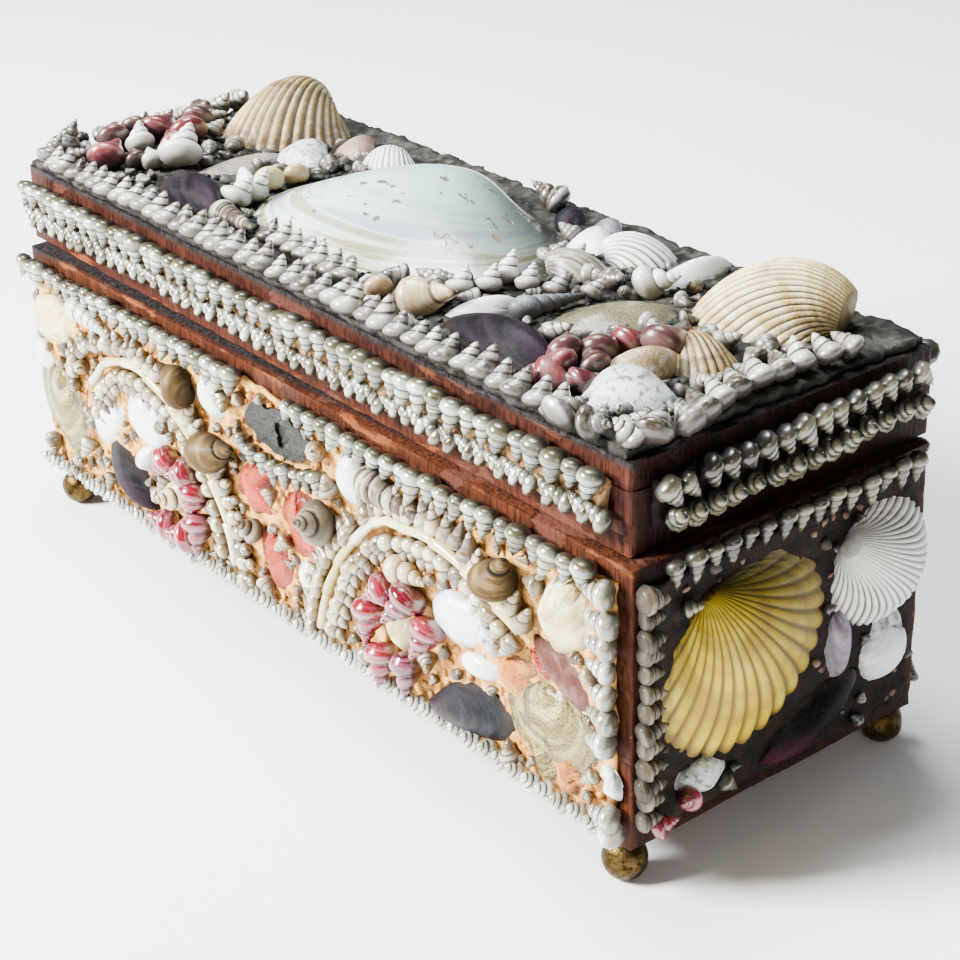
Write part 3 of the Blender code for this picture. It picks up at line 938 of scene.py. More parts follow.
@dataclass(frozen=True)
class Nacre:
    """Polished mother of pearl: cold white with drifting green and pink, pitted by worms, with one side
    darkened as painted shade.
    """

    pits: float = 0.0

    def build(self, name: str) -> Material:
        """Drift colours across the valve, darken one side as painted shade, and eat a few pits into it.

        Args:
            name: Name of the material.

        Returns:
            The material.
        """
        paint = Paint(name)
        growth, around, chart = paint.chart()
        drift = paint.add("TexNoise", {"Scale": 1.6, "Detail": 2.0}, {"Vector": chart}).outputs["Fac"]
        layers = paint.cloud(chart, (9.0, 0.8, 1.0), 1.5, 3.0, 0.4)
        colour = paint.mix(paint.share(drift, 0.35, 0.65), "#d2fff3", "#bfe0d8")
        tints = paint.add("ValToRGB", {}, {"Fac": layers})
        ramp = tints.color_ramp
        for spot, shade in ((0.38, "#a99cc4"), (0.45, "#c4ead9"), (0.52, "#e6efdc"), (0.58, "#a29a68")):
            ramp.elements.new(spot).color = linear(shade)
        ramp.elements[0].color, ramp.elements[-1].color = linear("#8fb0d6"), linear("#6f6350")
        colour = paint.mix(paint.share(growth, 0.55, 0.92, 0.95), colour, tints.outputs[0])
        # Darken one side of the valve, across its fan, as painted shade.
        colour = paint.mix(paint.share(around, -0.2, 0.65, 0.97), colour, "#25221c")
        normal = paint.bump(paint.grain(5.0, 2.0), 0.15)
        if self.pits:
            spots = paint.grain(7.0, 3.0, (1.0, 1.6, 1.0))
            pits = paint.share(spots, 0.655, 0.675)
            colour = paint.mix(pits, colour, "#756a5c")
            normal = paint.bump(paint.maths("SUBTRACT", 1.0, pits), self.pits, normal)
        return paint.finish(colour, 0.22, normal, IOR=1.6, Coat_Weight=0.4, Coat_Roughness=0.08)


@dataclass(frozen=True)
class SnailFinish:
    """Glazed coiled shells: each copy lighter or darker, darkened in the seams and low down by dirt and
    painted shade.
    """

    light: str
    dark: str
    # Colour that the seams and the foot by the putty turn to: dirt and painted shade.
    seam: str
    streak: str
    streaking: float = 0.5
    patch: float = 1.6
    rough: float = 0.3
    coat: float = 0.3
    along: float = 3.0
    across: float = 9.0
    # How much the shell darkens near the putty, as dirt and painted shade.
    dirt: float = 0.92
    nacre: float = 0.0
    foot: float = 0.6
    shine: float = 0.5

    def build(self, name: str) -> Material:
        """Shade each copy by its own tint, streak it along its whorls, and darken its seams and its foot on
        the putty with dirt and painted shade.

        Args:
            name: Name of the material.

        Returns:
            The material.
        """
        paint = Paint(name)
        tint = paint.attribute("tint")
        mottle = paint.plus(paint.times(paint.grain(self.patch, 3.0), 1.1), -0.3)
        shade = paint.plus(paint.times(tint, 0.75), paint.times(mottle, 0.6))
        colour = paint.mix(paint.share(shade, 0.1, 0.9), self.light, self.dark)
        along, across = paint.attribute("lap"), paint.attribute("band")
        chart = paint.add("CombineXYZ", {}, {"X": along, "Y": across, "Z": tint})
        streaks = paint.cloud(chart.outputs[0], (self.along, self.across, 40.0))
        colour = paint.mix(paint.share(streaks, 0.48, 0.62, self.streaking), colour, self.streak)
        colour = paint.mix(paint.share(across, 0.9, 1.7, self.foot), colour, self.dark)
        # Darken the seams between whorls and the part by the putty: dirt and painted shade.
        seam = paint.share(paint.attribute("suture"), 0.25, 0.8)
        dirt = paint.times(paint.attribute("low"), self.dirt)
        dirt_and_shade_mask = paint.maths("MAXIMUM", seam, dirt)
        colour = paint.mix(dirt_and_shade_mask, colour, self.seam)
        normal = paint.bump(paint.grain(0.5, 3.0), 0.05)
        rough = paint.plus(paint.times(dirt_and_shade_mask, 0.4), self.rough)
        return paint.finish(colour, rough, normal, IOR=1.6, Specular_IOR_Level=self.shine,
                            Coat_Weight=self.coat, Coat_Roughness=0.1, Metallic=self.nacre)


@dataclass(frozen=True)
class Putty:
    """Whiting putty, pressed by hand: matt, gritty and stained by old glue."""

    fresh: str
    aged: str
    dirt: str
    dirtiness: float = 0.5

    def build(self, name: str) -> Material:
        """Mottle the putty and roughen it with grit of about a millimetre.

        Args:
            name: Name of the material.

        Returns:
            The material.
        """
        paint = Paint(name)
        colour = paint.mix(paint.share(paint.grain(6.0, 5.0), 0.38, 0.62), self.fresh, self.aged)
        colour = paint.mix(paint.share(paint.grain(3.5, 6.0), 0.5, 0.62, self.dirtiness), colour, self.dirt)
        normal = paint.bump(paint.grain(3.0, 6.0), 0.8)
        normal = paint.bump(paint.grain(0.7, 3.0), 0.25, normal)
        return paint.finish(colour, 0.85, normal, IOR=1.5, Specular_IOR_Level=0.25)


@dataclass(frozen=True)
class PaperedWood:
    """Red-brown paper glued over pine, rubbed through to orange wood along its edges."""

    paper: str = "#6f2f24"
    faded: str = "#8a4535"
    grime: str = "#2c1210"
    bare: str = "#a9663a"
    torn: str = "#6b4136"
    rub: float = 0.16

    def build(self, name: str) -> Material:
        """Rub, scratch and stain the paper, paint the lid's shadow along the body's ledge, and darken the
        right end as painted shade.

        Args:
            name: Name of the material.

        Returns:
            The material.
        """
        paint = Paint(name)
        fibre = paint.grain(1.1, 7.0, (1.0, 1.0, 0.18))
        colour = paint.mix(paint.share(paint.grain(9.0, 5.0), 0.38, 0.6), self.paper, self.faded)
        colour = paint.mix(paint.share(fibre, 0.45, 0.6, 0.75), colour, self.grime)
        torn = paint.share(paint.grain(14.0, 6.0, (0.5, 1.0, 1.0)), 0.6, 0.63)
        colour = paint.mix(paint.times(torn, 0.5), colour, self.torn)
        colour = paint.mix(paint.share(paint.grain(1.3, 4.0), 0.58, 0.68, 0.6), colour, self.grime)
        worn = paint.times(paint.attribute("wear"), self.rub)
        rubbed = paint.plus(paint.grain(8.0, 7.0, (0.35, 0.6, 1.0)), worn)
        bare = paint.share(rubbed, 0.71, 0.76)
        wood = paint.mix(paint.share(paint.grain(1.0, 4.0, (0.15, 1.0, 1.0)), 0.4, 0.6), self.bare, "#7f4427")
        colour = paint.mix(bare, colour, wood)
        colour = paint.mix(paint.share(paint.attribute("wear"), 0.3, 1.0, 0.16), colour, "#7a4028")
        thread = paint.share(fibre, 0.4, 0.6)
        glue, soot = paint.mix(thread, "#121114", "#2c2829"), paint.mix(thread, "#0f0504", "#2a100b")
        # The grime attribute turns the paper blue-black: the lid's painted shadow along the body's ledge, and
        # darker paper at the ledge's left end and on the lid's top board.
        colour = paint.mix(paint.share(paint.attribute("grime"), 0.2, 0.7), colour, glue)
        # Darken the right end as painted shade.
        colour = paint.mix(paint.attribute("soot"), colour, soot)
        normal = paint.bump(fibre, 0.6)
        normal = paint.bump(paint.maths("SUBTRACT", 1.0, paint.maths("MAXIMUM", bare, torn)), 0.3, normal)
        rough = paint.plus(paint.times(fibre, 0.3), 0.45)
        return paint.finish(colour, rough, normal, IOR=1.5, Specular_IOR_Level=0.12)


@dataclass(frozen=True)
class AgedMetal:
    """Thin cast metal, tarnished: dull in the hollows and brighter where it is handled."""

    bright: str
    tarnish: str
    spots: str
    rough: float = 0.38
    relief: float = 0.25
    metallic: float = 1.0

    def build(self, name: str) -> Material:
        """Spot the metal with tarnish.

        Args:
            name: Name of the material.

        Returns:
            The material.
        """
        paint = Paint(name)
        colour = paint.mix(paint.share(paint.grain(3.5, 5.0), 0.42, 0.6), self.bright, self.tarnish)
        dark = paint.share(paint.grain(1.4, 5.0), 0.56, 0.66)
        colour = paint.mix(paint.times(dark, 0.8), colour, self.spots)
        normal = paint.bump(paint.grain(1.2, 5.0), self.relief)
        rough = paint.plus(paint.times(dark, 0.3), self.rough)
        return paint.finish(colour, rough, normal, Metallic=self.metallic)


FINISHES = {
    # Cockle bleached by the sun: chalky ribs, brown dirt and painted shade between them, orange growth bands;
    # the brown one is darkened on one side as painted shade.
    "cockle_brown": ShellFinish("#cdb475", "#0d0602", "#7e4f1f", "#f7efd8", bands=6.0, banding=0.85,
        blotch_size=2.2, relief=0.3, rough=0.6, side="#4a3418"),
    "cockle_cream": ShellFinish("#efdc9c", "#1e1206", "#b98b3c", "#fffaf0", bands=9.0, banding=0.75,
        blotch_size=2.6, blotching=0.45, relief=0.3, rough=0.6, tip="#8d7440"),
    "cockle_small": ShellFinish("#a98d57", "#23170a", "#6f4f26", "#dfd2ae", bands=7.0, banding=0.7,
        tip="#7a5a2c", blotch_size=2.0),
    # Abalone-like valve ground down to its mother of pearl: cold sheen, worm pits, one side darkened as
    # painted shade.
    "pearl": Nacre(pits=0.8),
    # Mussel: blue-black skin over violet, polished, paler along the hinge side.
    "mussel_violet": ShellFinish("#0f0c10", "#0a080b", "#2b252c", "#060406", bands=9.0, streaks=2.5,
        blotching=0.6, blotch_size=7.0, lines=120.0, relief=0.14, rough=0.4, tip="#261a26", rim="#050405",
        shine=0.08),
    "mussel_black": ShellFinish("#040304", "#030203", "#0f0b11", "#020202", bands=9.0, streaks=2.5,
        blotching=0.5, lines=120.0, relief=0.14, rough=0.28, tip="#3c1429", rim="#020202", shine=0.06),
    "mussel_blue": ShellFinish("#05070b", "#030304", "#1e2533", "#160c17", bands=20.0, banding=0.6,
        blotching=0.5, blotch_size=8.0, lines=120.0, relief=0.2, rough=0.38, tip="#24101f", rim="#020203",
        shine=0.1),
    # Saddle oyster and window shell: translucent olive leaves with a greasy shine.
    "oyster": ShellFinish("#826f24", "#5a4a12", "#dccd84", "#2e260a", bands=5.0, banding=0.9,
        blotching=0.75, blotch_size=6.0, lines=24.0, relief=2.0, rough=0.26, coat=0.3, rim="#e6dda6"),
    "oyster_olive": ShellFinish("#6e674c", "#454027", "#8f8769", "#2b271a", bands=4.0, banding=0.5,
        blotch_size=8.0, lines=16.0, relief=0.5, rough=0.2, coat=0.6, rim="#b5ae96"),
    # Tellin and other small clams: nearly white porcelain.
    "white_shell": ShellFinish("#fbfefd", "#e4eae9", "#eef3f1", "#dcd8cc", bands=5.0, banding=0.4,
        blotching=0.25, lines=60.0, relief=0.08, rough=0.3, coat=0.2),
    "white_cockle": ShellFinish("#f6f5f3", "#5a524b", "#dcd7d0", "#faf9f6", bands=8.0, banding=0.3,
        blotching=0.3, blotch_size=2.0, rough=0.45, tip="#f4f2ec"),
    "grey_clam": ShellFinish("#dfe8e6", "#7d7d76", "#a3a298", "#413d34", bands=8.0, blotch_size=2.2,
        blotching=0.8, lines=70.0, relief=0.15, rough=0.4),
    "tan_clam": ShellFinish("#b39a72", "#4f3c24", "#6e5434", "#e3d6b8", bands=6.0, blotching=0.8,
        blotch_size=2.4, lines=50.0, relief=0.3, rough=0.35, coat=0.2),
    "violet_shell": ShellFinish("#8f8290", "#4c3c50", "#413145", "#b3a8b0", bands=5.0, rough=0.3, coat=0.2,
        shine=0.3),
    "pink_clam": ShellFinish("#4e2016", "#2c0f09", "#7d4c3e", "#8a6a60", bands=6.0, banding=0.6, rough=0.35,
        tip="#401309", rim="#8f7268", shine=0.25),
    "blush_clam": ShellFinish("#a88374", "#6f4a3e", "#c9aa9c", "#8a5f50", bands=6.0, rough=0.4,
        tip="#7c5040"),
    "peach_shell": ShellFinish("#c06a18", "#7a3f10", "#e39c4e", "#94520f", bands=5.0, streaks=2.0,
        blotch_size=4.0, lines=24.0, relief=1.2, rough=0.34, rim="#e8bd80", shine=0.3),
    "cream_shell": ShellFinish("#e3cf8a", "#b79c5c", "#f3ecd2", "#8d7848", bands=5.0, blotching=0.6,
        blotch_size=4.0, lines=40.0, relief=0.35, rough=0.42),
    # Jingle shell: thin translucent leaves, orange with a metallic gloss.
    "jingle": ShellFinish("#a82204", "#4c0b01", "#d04c1e", "#5e1003", bands=6.0, streaks=1.5,
        blotch_size=3.5, lines=22.0, relief=1.3, rough=0.3, rim="#d9622e", shine=0.3, coat=0.15),
    # Queen scallop: lemon ribs, brown where old glue has soaked in, and one side darkened as painted shade.
    "scallop": ShellFinish("#e2c010", "#7b620c", "#8a6a0c", "#efe05a", bands=5.0, banding=0.55,
        blotching=0.55, blotch_size=13.0, relief=0.2, rough=0.5, rim="#7a5a16", shine=0.3, side="#2a2205"),
    "grey_slipper": ShellFinish("#8f897c", "#4f493f", "#b3ada0", "#3a342c", bands=5.0, rough=0.35),
    # Little top shells, stripped to their pearl: mint white, with tan and grey mottling.
    "top_pearl": SnailFinish("#b3b49e", "#4b4326", "#0d0904", "#eef7f1", rough=0.15, coat=0.8, along=0.7,
        across=1.3, nacre=0.22, streaking=0.65, foot=0.95),
    "top_tan": SnailFinish("#decb98", "#4f3917", "#35260f", "#fdf9ea", rough=0.18, coat=0.8, along=0.8,
        across=1.3, nacre=0.05, streaking=0.6, foot=0.65),
    "top_grey": SnailFinish("#e2ded2", "#3a2f22", "#2a2017", "#fffffd", rough=0.2, coat=0.7, along=0.7,
        across=0.9, nacre=0.05, streaking=0.55, foot=0.85),
    "top_white": SnailFinish("#eceee4", "#857f66", "#171209", "#fbfffc", rough=0.14, coat=1.0, along=0.7,
        across=1.3, nacre=0.15, streaking=0.6, foot=0.7, dirt=0.6),
    "top_dusty": SnailFinish("#6a5c45", "#281e12", "#100a05", "#b5a88f", rough=0.42, coat=0.1,
        streaking=0.5, along=0.7, across=1.3, foot=0.4, shine=0.25),
    # Darker copy of the top shells for the casket's right end: painted shade.
    "top_painted_shade": SnailFinish("#8f8769", "#2a2213", "#090603", "#cfcdb8", rough=0.16, coat=0.7,
        streaking=0.3, nacre=0.1, along=0.7, across=1.3, foot=0.8),
    # Rough periwinkles dyed rose: pink glaze that has worn to white in streaks.
    "rose_snail": SnailFinish("#920920", "#400310", "#120104", "#dc8098", streaking=0.4, patch=4.0,
        rough=0.14, coat=1.0, along=1.0, across=2.5, dirt=0.8, foot=0.3),
    "dusky_rose": SnailFinish("#5f3331", "#2e1516", "#170a0a", "#b48a80", streaking=0.3, patch=5.0,
        rough=0.3, coat=0.35, along=1.0, across=1.5, foot=0.3),
    "faded_rose": SnailFinish("#863438", "#4c171b", "#23090a", "#d6a7a0", streaking=0.3, patch=5.0,
        rough=0.25, coat=0.5, along=1.0, across=1.5, foot=0.25),
    "cream_snail": SnailFinish("#efe2ae", "#b1885a", "#4a3520", "#f8f3dc", rough=0.3, patch=3.0, dirt=0.5),
    "white_snail": SnailFinish("#eff1ee", "#c9c5ba", "#5d564b", "#ffffff", rough=0.22),
    "brown_snail": SnailFinish("#5c451f", "#2c1e0a", "#0b0704", "#97804f", rough=0.5, coat=0.03,
        streaking=0.5, patch=1.2, along=3.0, across=3.0, foot=0.3, shine=0.12),
    # Broken bits of clam pressed hollow side down.
    "grey_flake": SnailFinish("#8f8a7a", "#3b352b", "#14110d", "#dcd9cf", rough=0.4, coat=0.1, patch=4.0),
    "tan_flake": SnailFinish("#bda377", "#4f3d22", "#20170d", "#e2d8c0", rough=0.4, coat=0.1, patch=4.0),
    # Turret shells: chalk grey, in lighter and darker turns.
    "auger_banded": SnailFinish("#6e5d48", "#3a2c1c", "#15100b", "#d9cdb6", streaking=0.8, rough=0.4,
        coat=0.1, along=1.0, across=2.0, shine=0.2),
    "auger_grey": SnailFinish("#7f8a90", "#2f2e29", "#141210", "#c3cacb", rough=0.4, coat=0.1,
        streaking=0.5, patch=1.6, along=22.0, across=9.0),
    "auger_white": SnailFinish("#f1f2ee", "#b9b2a2", "#4f4638", "#ffffff", rough=0.3, along=1.0,
        across=3.0),
    # Tusk shells: smooth ivory tubes, cream to yellow.
    "tusk": SnailFinish("#efe0a4", "#c2ac62", "#8a7444", "#f4fbff", streaking=0.6, patch=7.0, rough=0.18,
        coat=0.9),
    # Whiting putty: peach on the front, dark with glue elsewhere; the ends' putty is near-black as painted
    # shade.
    "putty": Putty("#f0b868", "#c78238", "#4b2e12", 0.6),
    "band_putty": Putty("#b78f5c", "#7d5a34", "#2b1c10", 0.8),
    # Near-black putty for the ends: painted shade.
    "cream_putty": Putty("#21130b", "#0f0805", "#070403", 0.8),
    "crust": Putty("#8d7767", "#5a4337", "#2a1a14", 0.8),
    "dark_putty": Putty("#343430", "#191814", "#52514a", 0.5),
    "glue": Putty("#2a2d32", "#151416", "#453e39", 0.5),
    # Papered pine: red-brown paper, rubbed through to orange wood.
    "papered_wood": PaperedWood("#3a1a0e", "#522a17", "#150805", "#8a4c1e"),
    "lid_wood": PaperedWood("#331711", "#492419", "#0f0604", "#70391a", rub=0.19),
    # Cast brass feet and a tinned iron plate, both tarnished.
    "brass": AgedMetal("#5c4a2a", "#33270f", "#15100a", 0.42),
    "lock_iron": AgedMetal("#161714", "#0c0c0a", "#050404", 0.45, 0.5, 0.4),
    # Near-black metal of the cup behind the keyhole: painted shade.
    "keyhole_painted_shade": AgedMetal("#0b0a0a", "#070606", "#100e0d", 0.8, 0.2, 0.2),
}


def build_finishes() -> Finishes:
    """Build every finish once."""
    return {name: finish.build(name) for name, finish in FINISHES.items()}


# ---------------------------------------------------------------- casket


def slice_up(mesh: BMesh, step: float) -> None:
    """Cut a mesh by planes on every axis.

    Args:
        mesh: Shape to cut.
        step: Distance between the planes, in metres.
    """
    for axis in range(3):
        low = min(vert.co[axis] for vert in mesh.verts)
        high = max(vert.co[axis] for vert in mesh.verts)
        count = max(1, round((high - low) / step))
        for index in range(1, count):
            spot, normal = Vector(), Vector()
            spot[axis], normal[axis] = low + (high - low) * index / count, 1.0
            geom = mesh.verts[:] + mesh.edges[:] + mesh.faces[:]
            bmesh.ops.bisect_plane(mesh, geom=geom, plane_co=spot, plane_no=normal)


def face_towards(mesh: BMesh, direction: Triple) -> BMFace:
    """Return the face whose normal is nearest to a direction."""
    mesh.normal_update()
    return max(mesh.faces, key=lambda face: face.normal.dot(Vector(direction)))


def push_face(mesh: BMesh, face: BMFace, border: float, depth: float) -> None:
    """Inset a face and move it along its normal, keeping the solid closed.

    Args:
        mesh: Shape to change.
        face: Face to move.
        border: Width left round it.
        depth: Distance, below zero into the solid.
    """
    bmesh.ops.inset_region(mesh, faces=[face], thickness=border)
    push = face.normal.normalized() * depth
    made = bmesh.ops.extrude_face_region(mesh, geom=[face])
    bmesh.ops.delete(mesh, geom=[face], context="FACES")
    bmesh.ops.translate(mesh, vec=push, verts=made_of(made, BMVert))


@dataclass(frozen=True)
class WoodBox:
    """A papered pine shell open on one side, with rubbed and chipped arrises."""

    node: str
    name: str
    finish: str
    slot: str
    wall: float = 9.0
    floor: float = 7.0
    open_up: bool = True
    arris: float = 0.8
    board: float = 0.0
    inset: float = 0.6
    grid: float = 3.0
    skin: float = 0.5
    wear_reach: float = 4.0
    # Width of the ledge's outer strip left clear of the lid's painted shadow, how it narrows towards the
    # left, and how softly the shadow starts.
    rim: float = 2.2
    lid_shadow_taper: float = 1.6
    lid_shadow_fade: float = 1.4
    grime_from: float = 110.0
    grime_fade: float = 40.0
    arris_reach: float = 1.5
    wander: float = 0.25
    wander_size: float = 17.0
    chip: float = 0.7
    chip_size: float = 5.0
    chip_least: float = 0.12
    chip_wear: float = 0.75
    # How dark the right end is painted as shade, and how far from its front and back edges it fades in.
    end_shade_strength: float = 0.92
    soot_fade: float = 3.0
    dusty: float = 0.9

    def build(self, finishes: Finishes) -> Object:
        """Cut the box, wear its edges and paper it.

        Args:
            finishes: Materials by their name.

        Returns:
            The piece.
        """
        low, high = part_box(self.node)
        middle = (low + high) / 2.0
        half = (Face.TOP if self.node == "lid" else Face.FRONT).half_size()
        top = half.z - self.board * MM
        mesh = block((-half.x, -half.y, -half.z), (half.x, half.y, top))
        if self.board:
            push_face(mesh, face_towards(mesh, (0, 0, 1)), self.inset * MM, self.board * MM)
        opening = (0, 0, 1) if self.open_up else (0, 0, -1)
        push_face(mesh, face_towards(mesh, opening), self.wall * MM, -(2.0 * half.z - self.floor * MM))
        uprights = [edge for edge in mesh.edges
                    if edge.is_convex and abs(edge.verts[0].co.z - edge.verts[1].co.z) > half.z / 3.0]
        bmesh.ops.bevel(mesh, geom=uprights, offset=self.arris * MM, segments=3, profile=0.5, affect="EDGES",
                        offset_type="OFFSET", material=-1)
        slice_up(mesh, self.grid * MM)
        self.wear(mesh, half)
        turn = LID_YAW if self.node == "lid" else 0.0
        place = Matrix.Translation(middle) @ Matrix.Rotation(turn, 4, "Z")
        bmesh.ops.transform(mesh, matrix=place, verts=mesh.verts[:])
        return make_piece(self.name, mesh, finishes[self.finish], self.slot, (self.node,), smooth=False)

    def wear(self, mesh: BMesh, half: Vector) -> None:
        """Mark how near each point is to an arris, mark the ledge next to the lid for a painted shadow, the
        left end of the top for darker paper and the right end for painted shade, and knock the arrises about.

        Args:
            mesh: Box round its own middle.
            half: Half its size.
        """
        wear, grime, soot = (mesh.verts.layers.float.new(key) for key in ("wear", "grime", "soot"))
        mesh.normal_update()
        for vert in mesh.verts:
            gaps = sorted(half[axis] - abs(vert.co[axis]) for axis in range(3))
            vert[wear] = 1.0 - min(1.0, max(0.0, gaps[1]) / (self.wear_reach * MM))
            # On the body's top ledge, the part next to the lid is darkened as the lid's painted shadow,
            # reaching nearer the outer edge at the left; the top's left end and the lid's top board are
            # darkened too.
            border = (self.rim + self.lid_shadow_taper * vert.co.x / half.x) * MM
            lid_shadow_ramp = (min(half.x - abs(vert.co.x), half.y - abs(vert.co.y)) - border) / (self.lid_shadow_fade * MM)
            left = (-vert.co.x - self.grime_from * MM) / (self.grime_fade * MM)
            top = vert.co.z > half.z - self.skin * MM
            end = vert.co.x > half.x - self.skin * MM
            soft = min(1.0, (half.y - abs(vert.co.y)) / (self.soot_fade * MM))
            # The right end is darkened as painted shade, fading in from its front and back edges.
            vert[soot] = self.end_shade_strength * soft if end else 0.0
            vert[grime] = clamp(max(lid_shadow_ramp if self.open_up else self.dusty, left)) if top else 0.0
        for vert in mesh.verts:
            if min(half[axis] - abs(vert.co[axis]) for axis in range(3)) >= self.arris_reach * MM:
                continue
            flat = noise.noise_vector(vert.co / (self.wander_size * MM)) * self.wander * MM
            chip = max(0.0, noise.noise(vert.co / (self.chip_size * MM)) - self.chip_least) * self.chip * MM
            vert.co += flat - vert.normal * (chip if vert[wear] > self.chip_wear else 0.0)


LUMP_NOISE = (0.9, 2.1, 4)
LEAF_NOISE = (0.8, 2.2, 3)


@dataclass(frozen=True)
class Bed:
    """A lumpy sheet of putty on one face."""

    node: str
    face: Face
    finish: str
    slot: str
    lump: float = 0.9
    lump_size: float = 5.0
    grid: float = 1.6
    wander: float = 1.5
    trim: float = 0.0
    lowest: float = 0.7
    under_plate: float = 0.6
    underside: float = 0.2
    drift_size: float = 4.0
    rim: float = 3.0

    def build(self, finishes: Finishes) -> Object:
        """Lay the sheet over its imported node.

        Args:
            finishes: Materials by their name.

        Returns:
            The piece.
        """
        place = self.face.matrix()
        low, high = corners_of([place.inverted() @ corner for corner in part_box(self.node)])
        trim = Vector((self.trim, self.trim, 0.0)) * MM
        low, high = low + trim, high - trim
        size = high - low
        plate = None
        if self.face is Face.FRONT:
            plate = [place.inverted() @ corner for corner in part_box("lock_plate")]
        counts = [max(2, round(size[axis] / (self.grid * MM))) for axis in (0, 1)]
        mesh = bmesh.new()
        bmesh.ops.create_grid(mesh, x_segments=counts[0], y_segments=counts[1], size=0.5)
        bmesh.ops.scale(mesh, vec=(size.x, size.y, 1.0), verts=mesh.verts[:])
        middle = ((low.x + high.x) / 2.0, (low.y + high.y) / 2.0, high.z)
        bmesh.ops.translate(mesh, vec=middle, verts=mesh.verts[:])
        upper = mesh.verts[:]
        made = bmesh.ops.extrude_face_region(mesh, geom=mesh.faces[:], use_keep_orig=True)
        bmesh.ops.translate(mesh, vec=(0.0, 0.0, self.underside * MM - high.z), verts=made_of(made, BMVert))
        for vert in mesh.verts:
            seed = Vector((vert.co.x, vert.co.y, 0.0))
            gap = min(vert.co.x - low.x, high.x - vert.co.x, vert.co.y - low.y, high.y - vert.co.y)
            drift = noise.noise_vector(seed / (self.drift_size * MM) + Vector((7.0, len(self.node), 0.0)))
            near = 1.0 - min(1.0, gap / (self.rim * MM))
            vert.co.x += drift.x * self.wander * MM * near
            vert.co.y += drift.y * self.wander * MM * near
        for vert in upper:
            seed = vert.co / (self.lump_size * MM)
            rise = noise.fractal(seed, *LUMP_NOISE)
            vert.co.z = max(self.lowest * MM, vert.co.z + rise * self.lump * MM)
            if plate and all(plate[0][axis] < vert.co[axis] < plate[1][axis] for axis in (0, 1)):
                vert.co.z = self.under_plate * MM
        bmesh.ops.transform(mesh, matrix=place, verts=mesh.verts[:])
        return make_piece(self.node + "_putty", mesh, finishes[self.finish], self.slot, (self.node,))


@dataclass(frozen=True)
class BallFeet:
    """Four cast brass balls on collars."""

    diameter: float = 12.5
    collar: float = 9.0
    neck: float = 7.6
    flat: float = 0.38
    top_angle: float = 0.55
    neck_turn: Spot = (0.86, 0.88)
    collar_turns: Path = ((0.9, 0.91), (1.0, 0.95), (0.94, 1.0), (0.0, 1.0))
    dent: float = 0.045
    dent_size: float = 3.2
    rings: int = 18
    segments: int = 40

    def build(self, finishes: Finishes) -> None:
        """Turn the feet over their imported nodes.

        Args:
            finishes: Materials by their name.
        """
        for end in ("front", "back"):
            for side in ("left", "right"):
                node = f"foot_{end}_{side}"
                low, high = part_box(node)
                middle = (low + high) / 2.0
                height = high.z - low.z
                radius = self.diameter / 2.0 * MM
                flat = self.flat * radius
                centre = math.sqrt(radius ** 2 - flat ** 2)
                profile = [(0.0, 0.0)]
                for ring in range(self.rings + 1):
                    start = math.asin(flat / radius)
                    turn = start + (math.pi - self.top_angle - start) * ring / self.rings
                    profile.append((radius * math.sin(turn), centre - radius * math.cos(turn)))
                neck, collar = self.neck / 2.0 * MM, self.collar / 2.0 * MM
                profile.append((neck * self.neck_turn[0], height * self.neck_turn[1]))
                profile += [(collar * out, height * up) for out, up in self.collar_turns]
                mesh = bmesh.new()
                path = [mesh.verts.new((across, 0.0, up)) for across, up in profile]
                edges = [mesh.edges.new(pair) for pair in zip(path, path[1:])]
                bmesh.ops.spin(mesh, geom=path + edges, cent=(0, 0, 0), axis=(0, 0, 1), angle=2.0 * math.pi,
                               steps=self.segments, use_merge=True)
                bmesh.ops.remove_doubles(mesh, verts=mesh.verts[:], dist=1e-6)
                for vert in mesh.verts:
                    keep = min(1.0, vert.co.z / MM)
                    dent = noise.noise(vert.co / (self.dent_size * MM) + middle * 100.0)
                    vert.co += Vector((vert.co.x, vert.co.y, 0.0)) * self.dent * dent * keep
                bmesh.ops.translate(mesh, vec=(middle.x, middle.y, low.z), verts=mesh.verts[:])
                make_piece(node + "_ball", mesh, finishes["brass"], "brass", (node,))


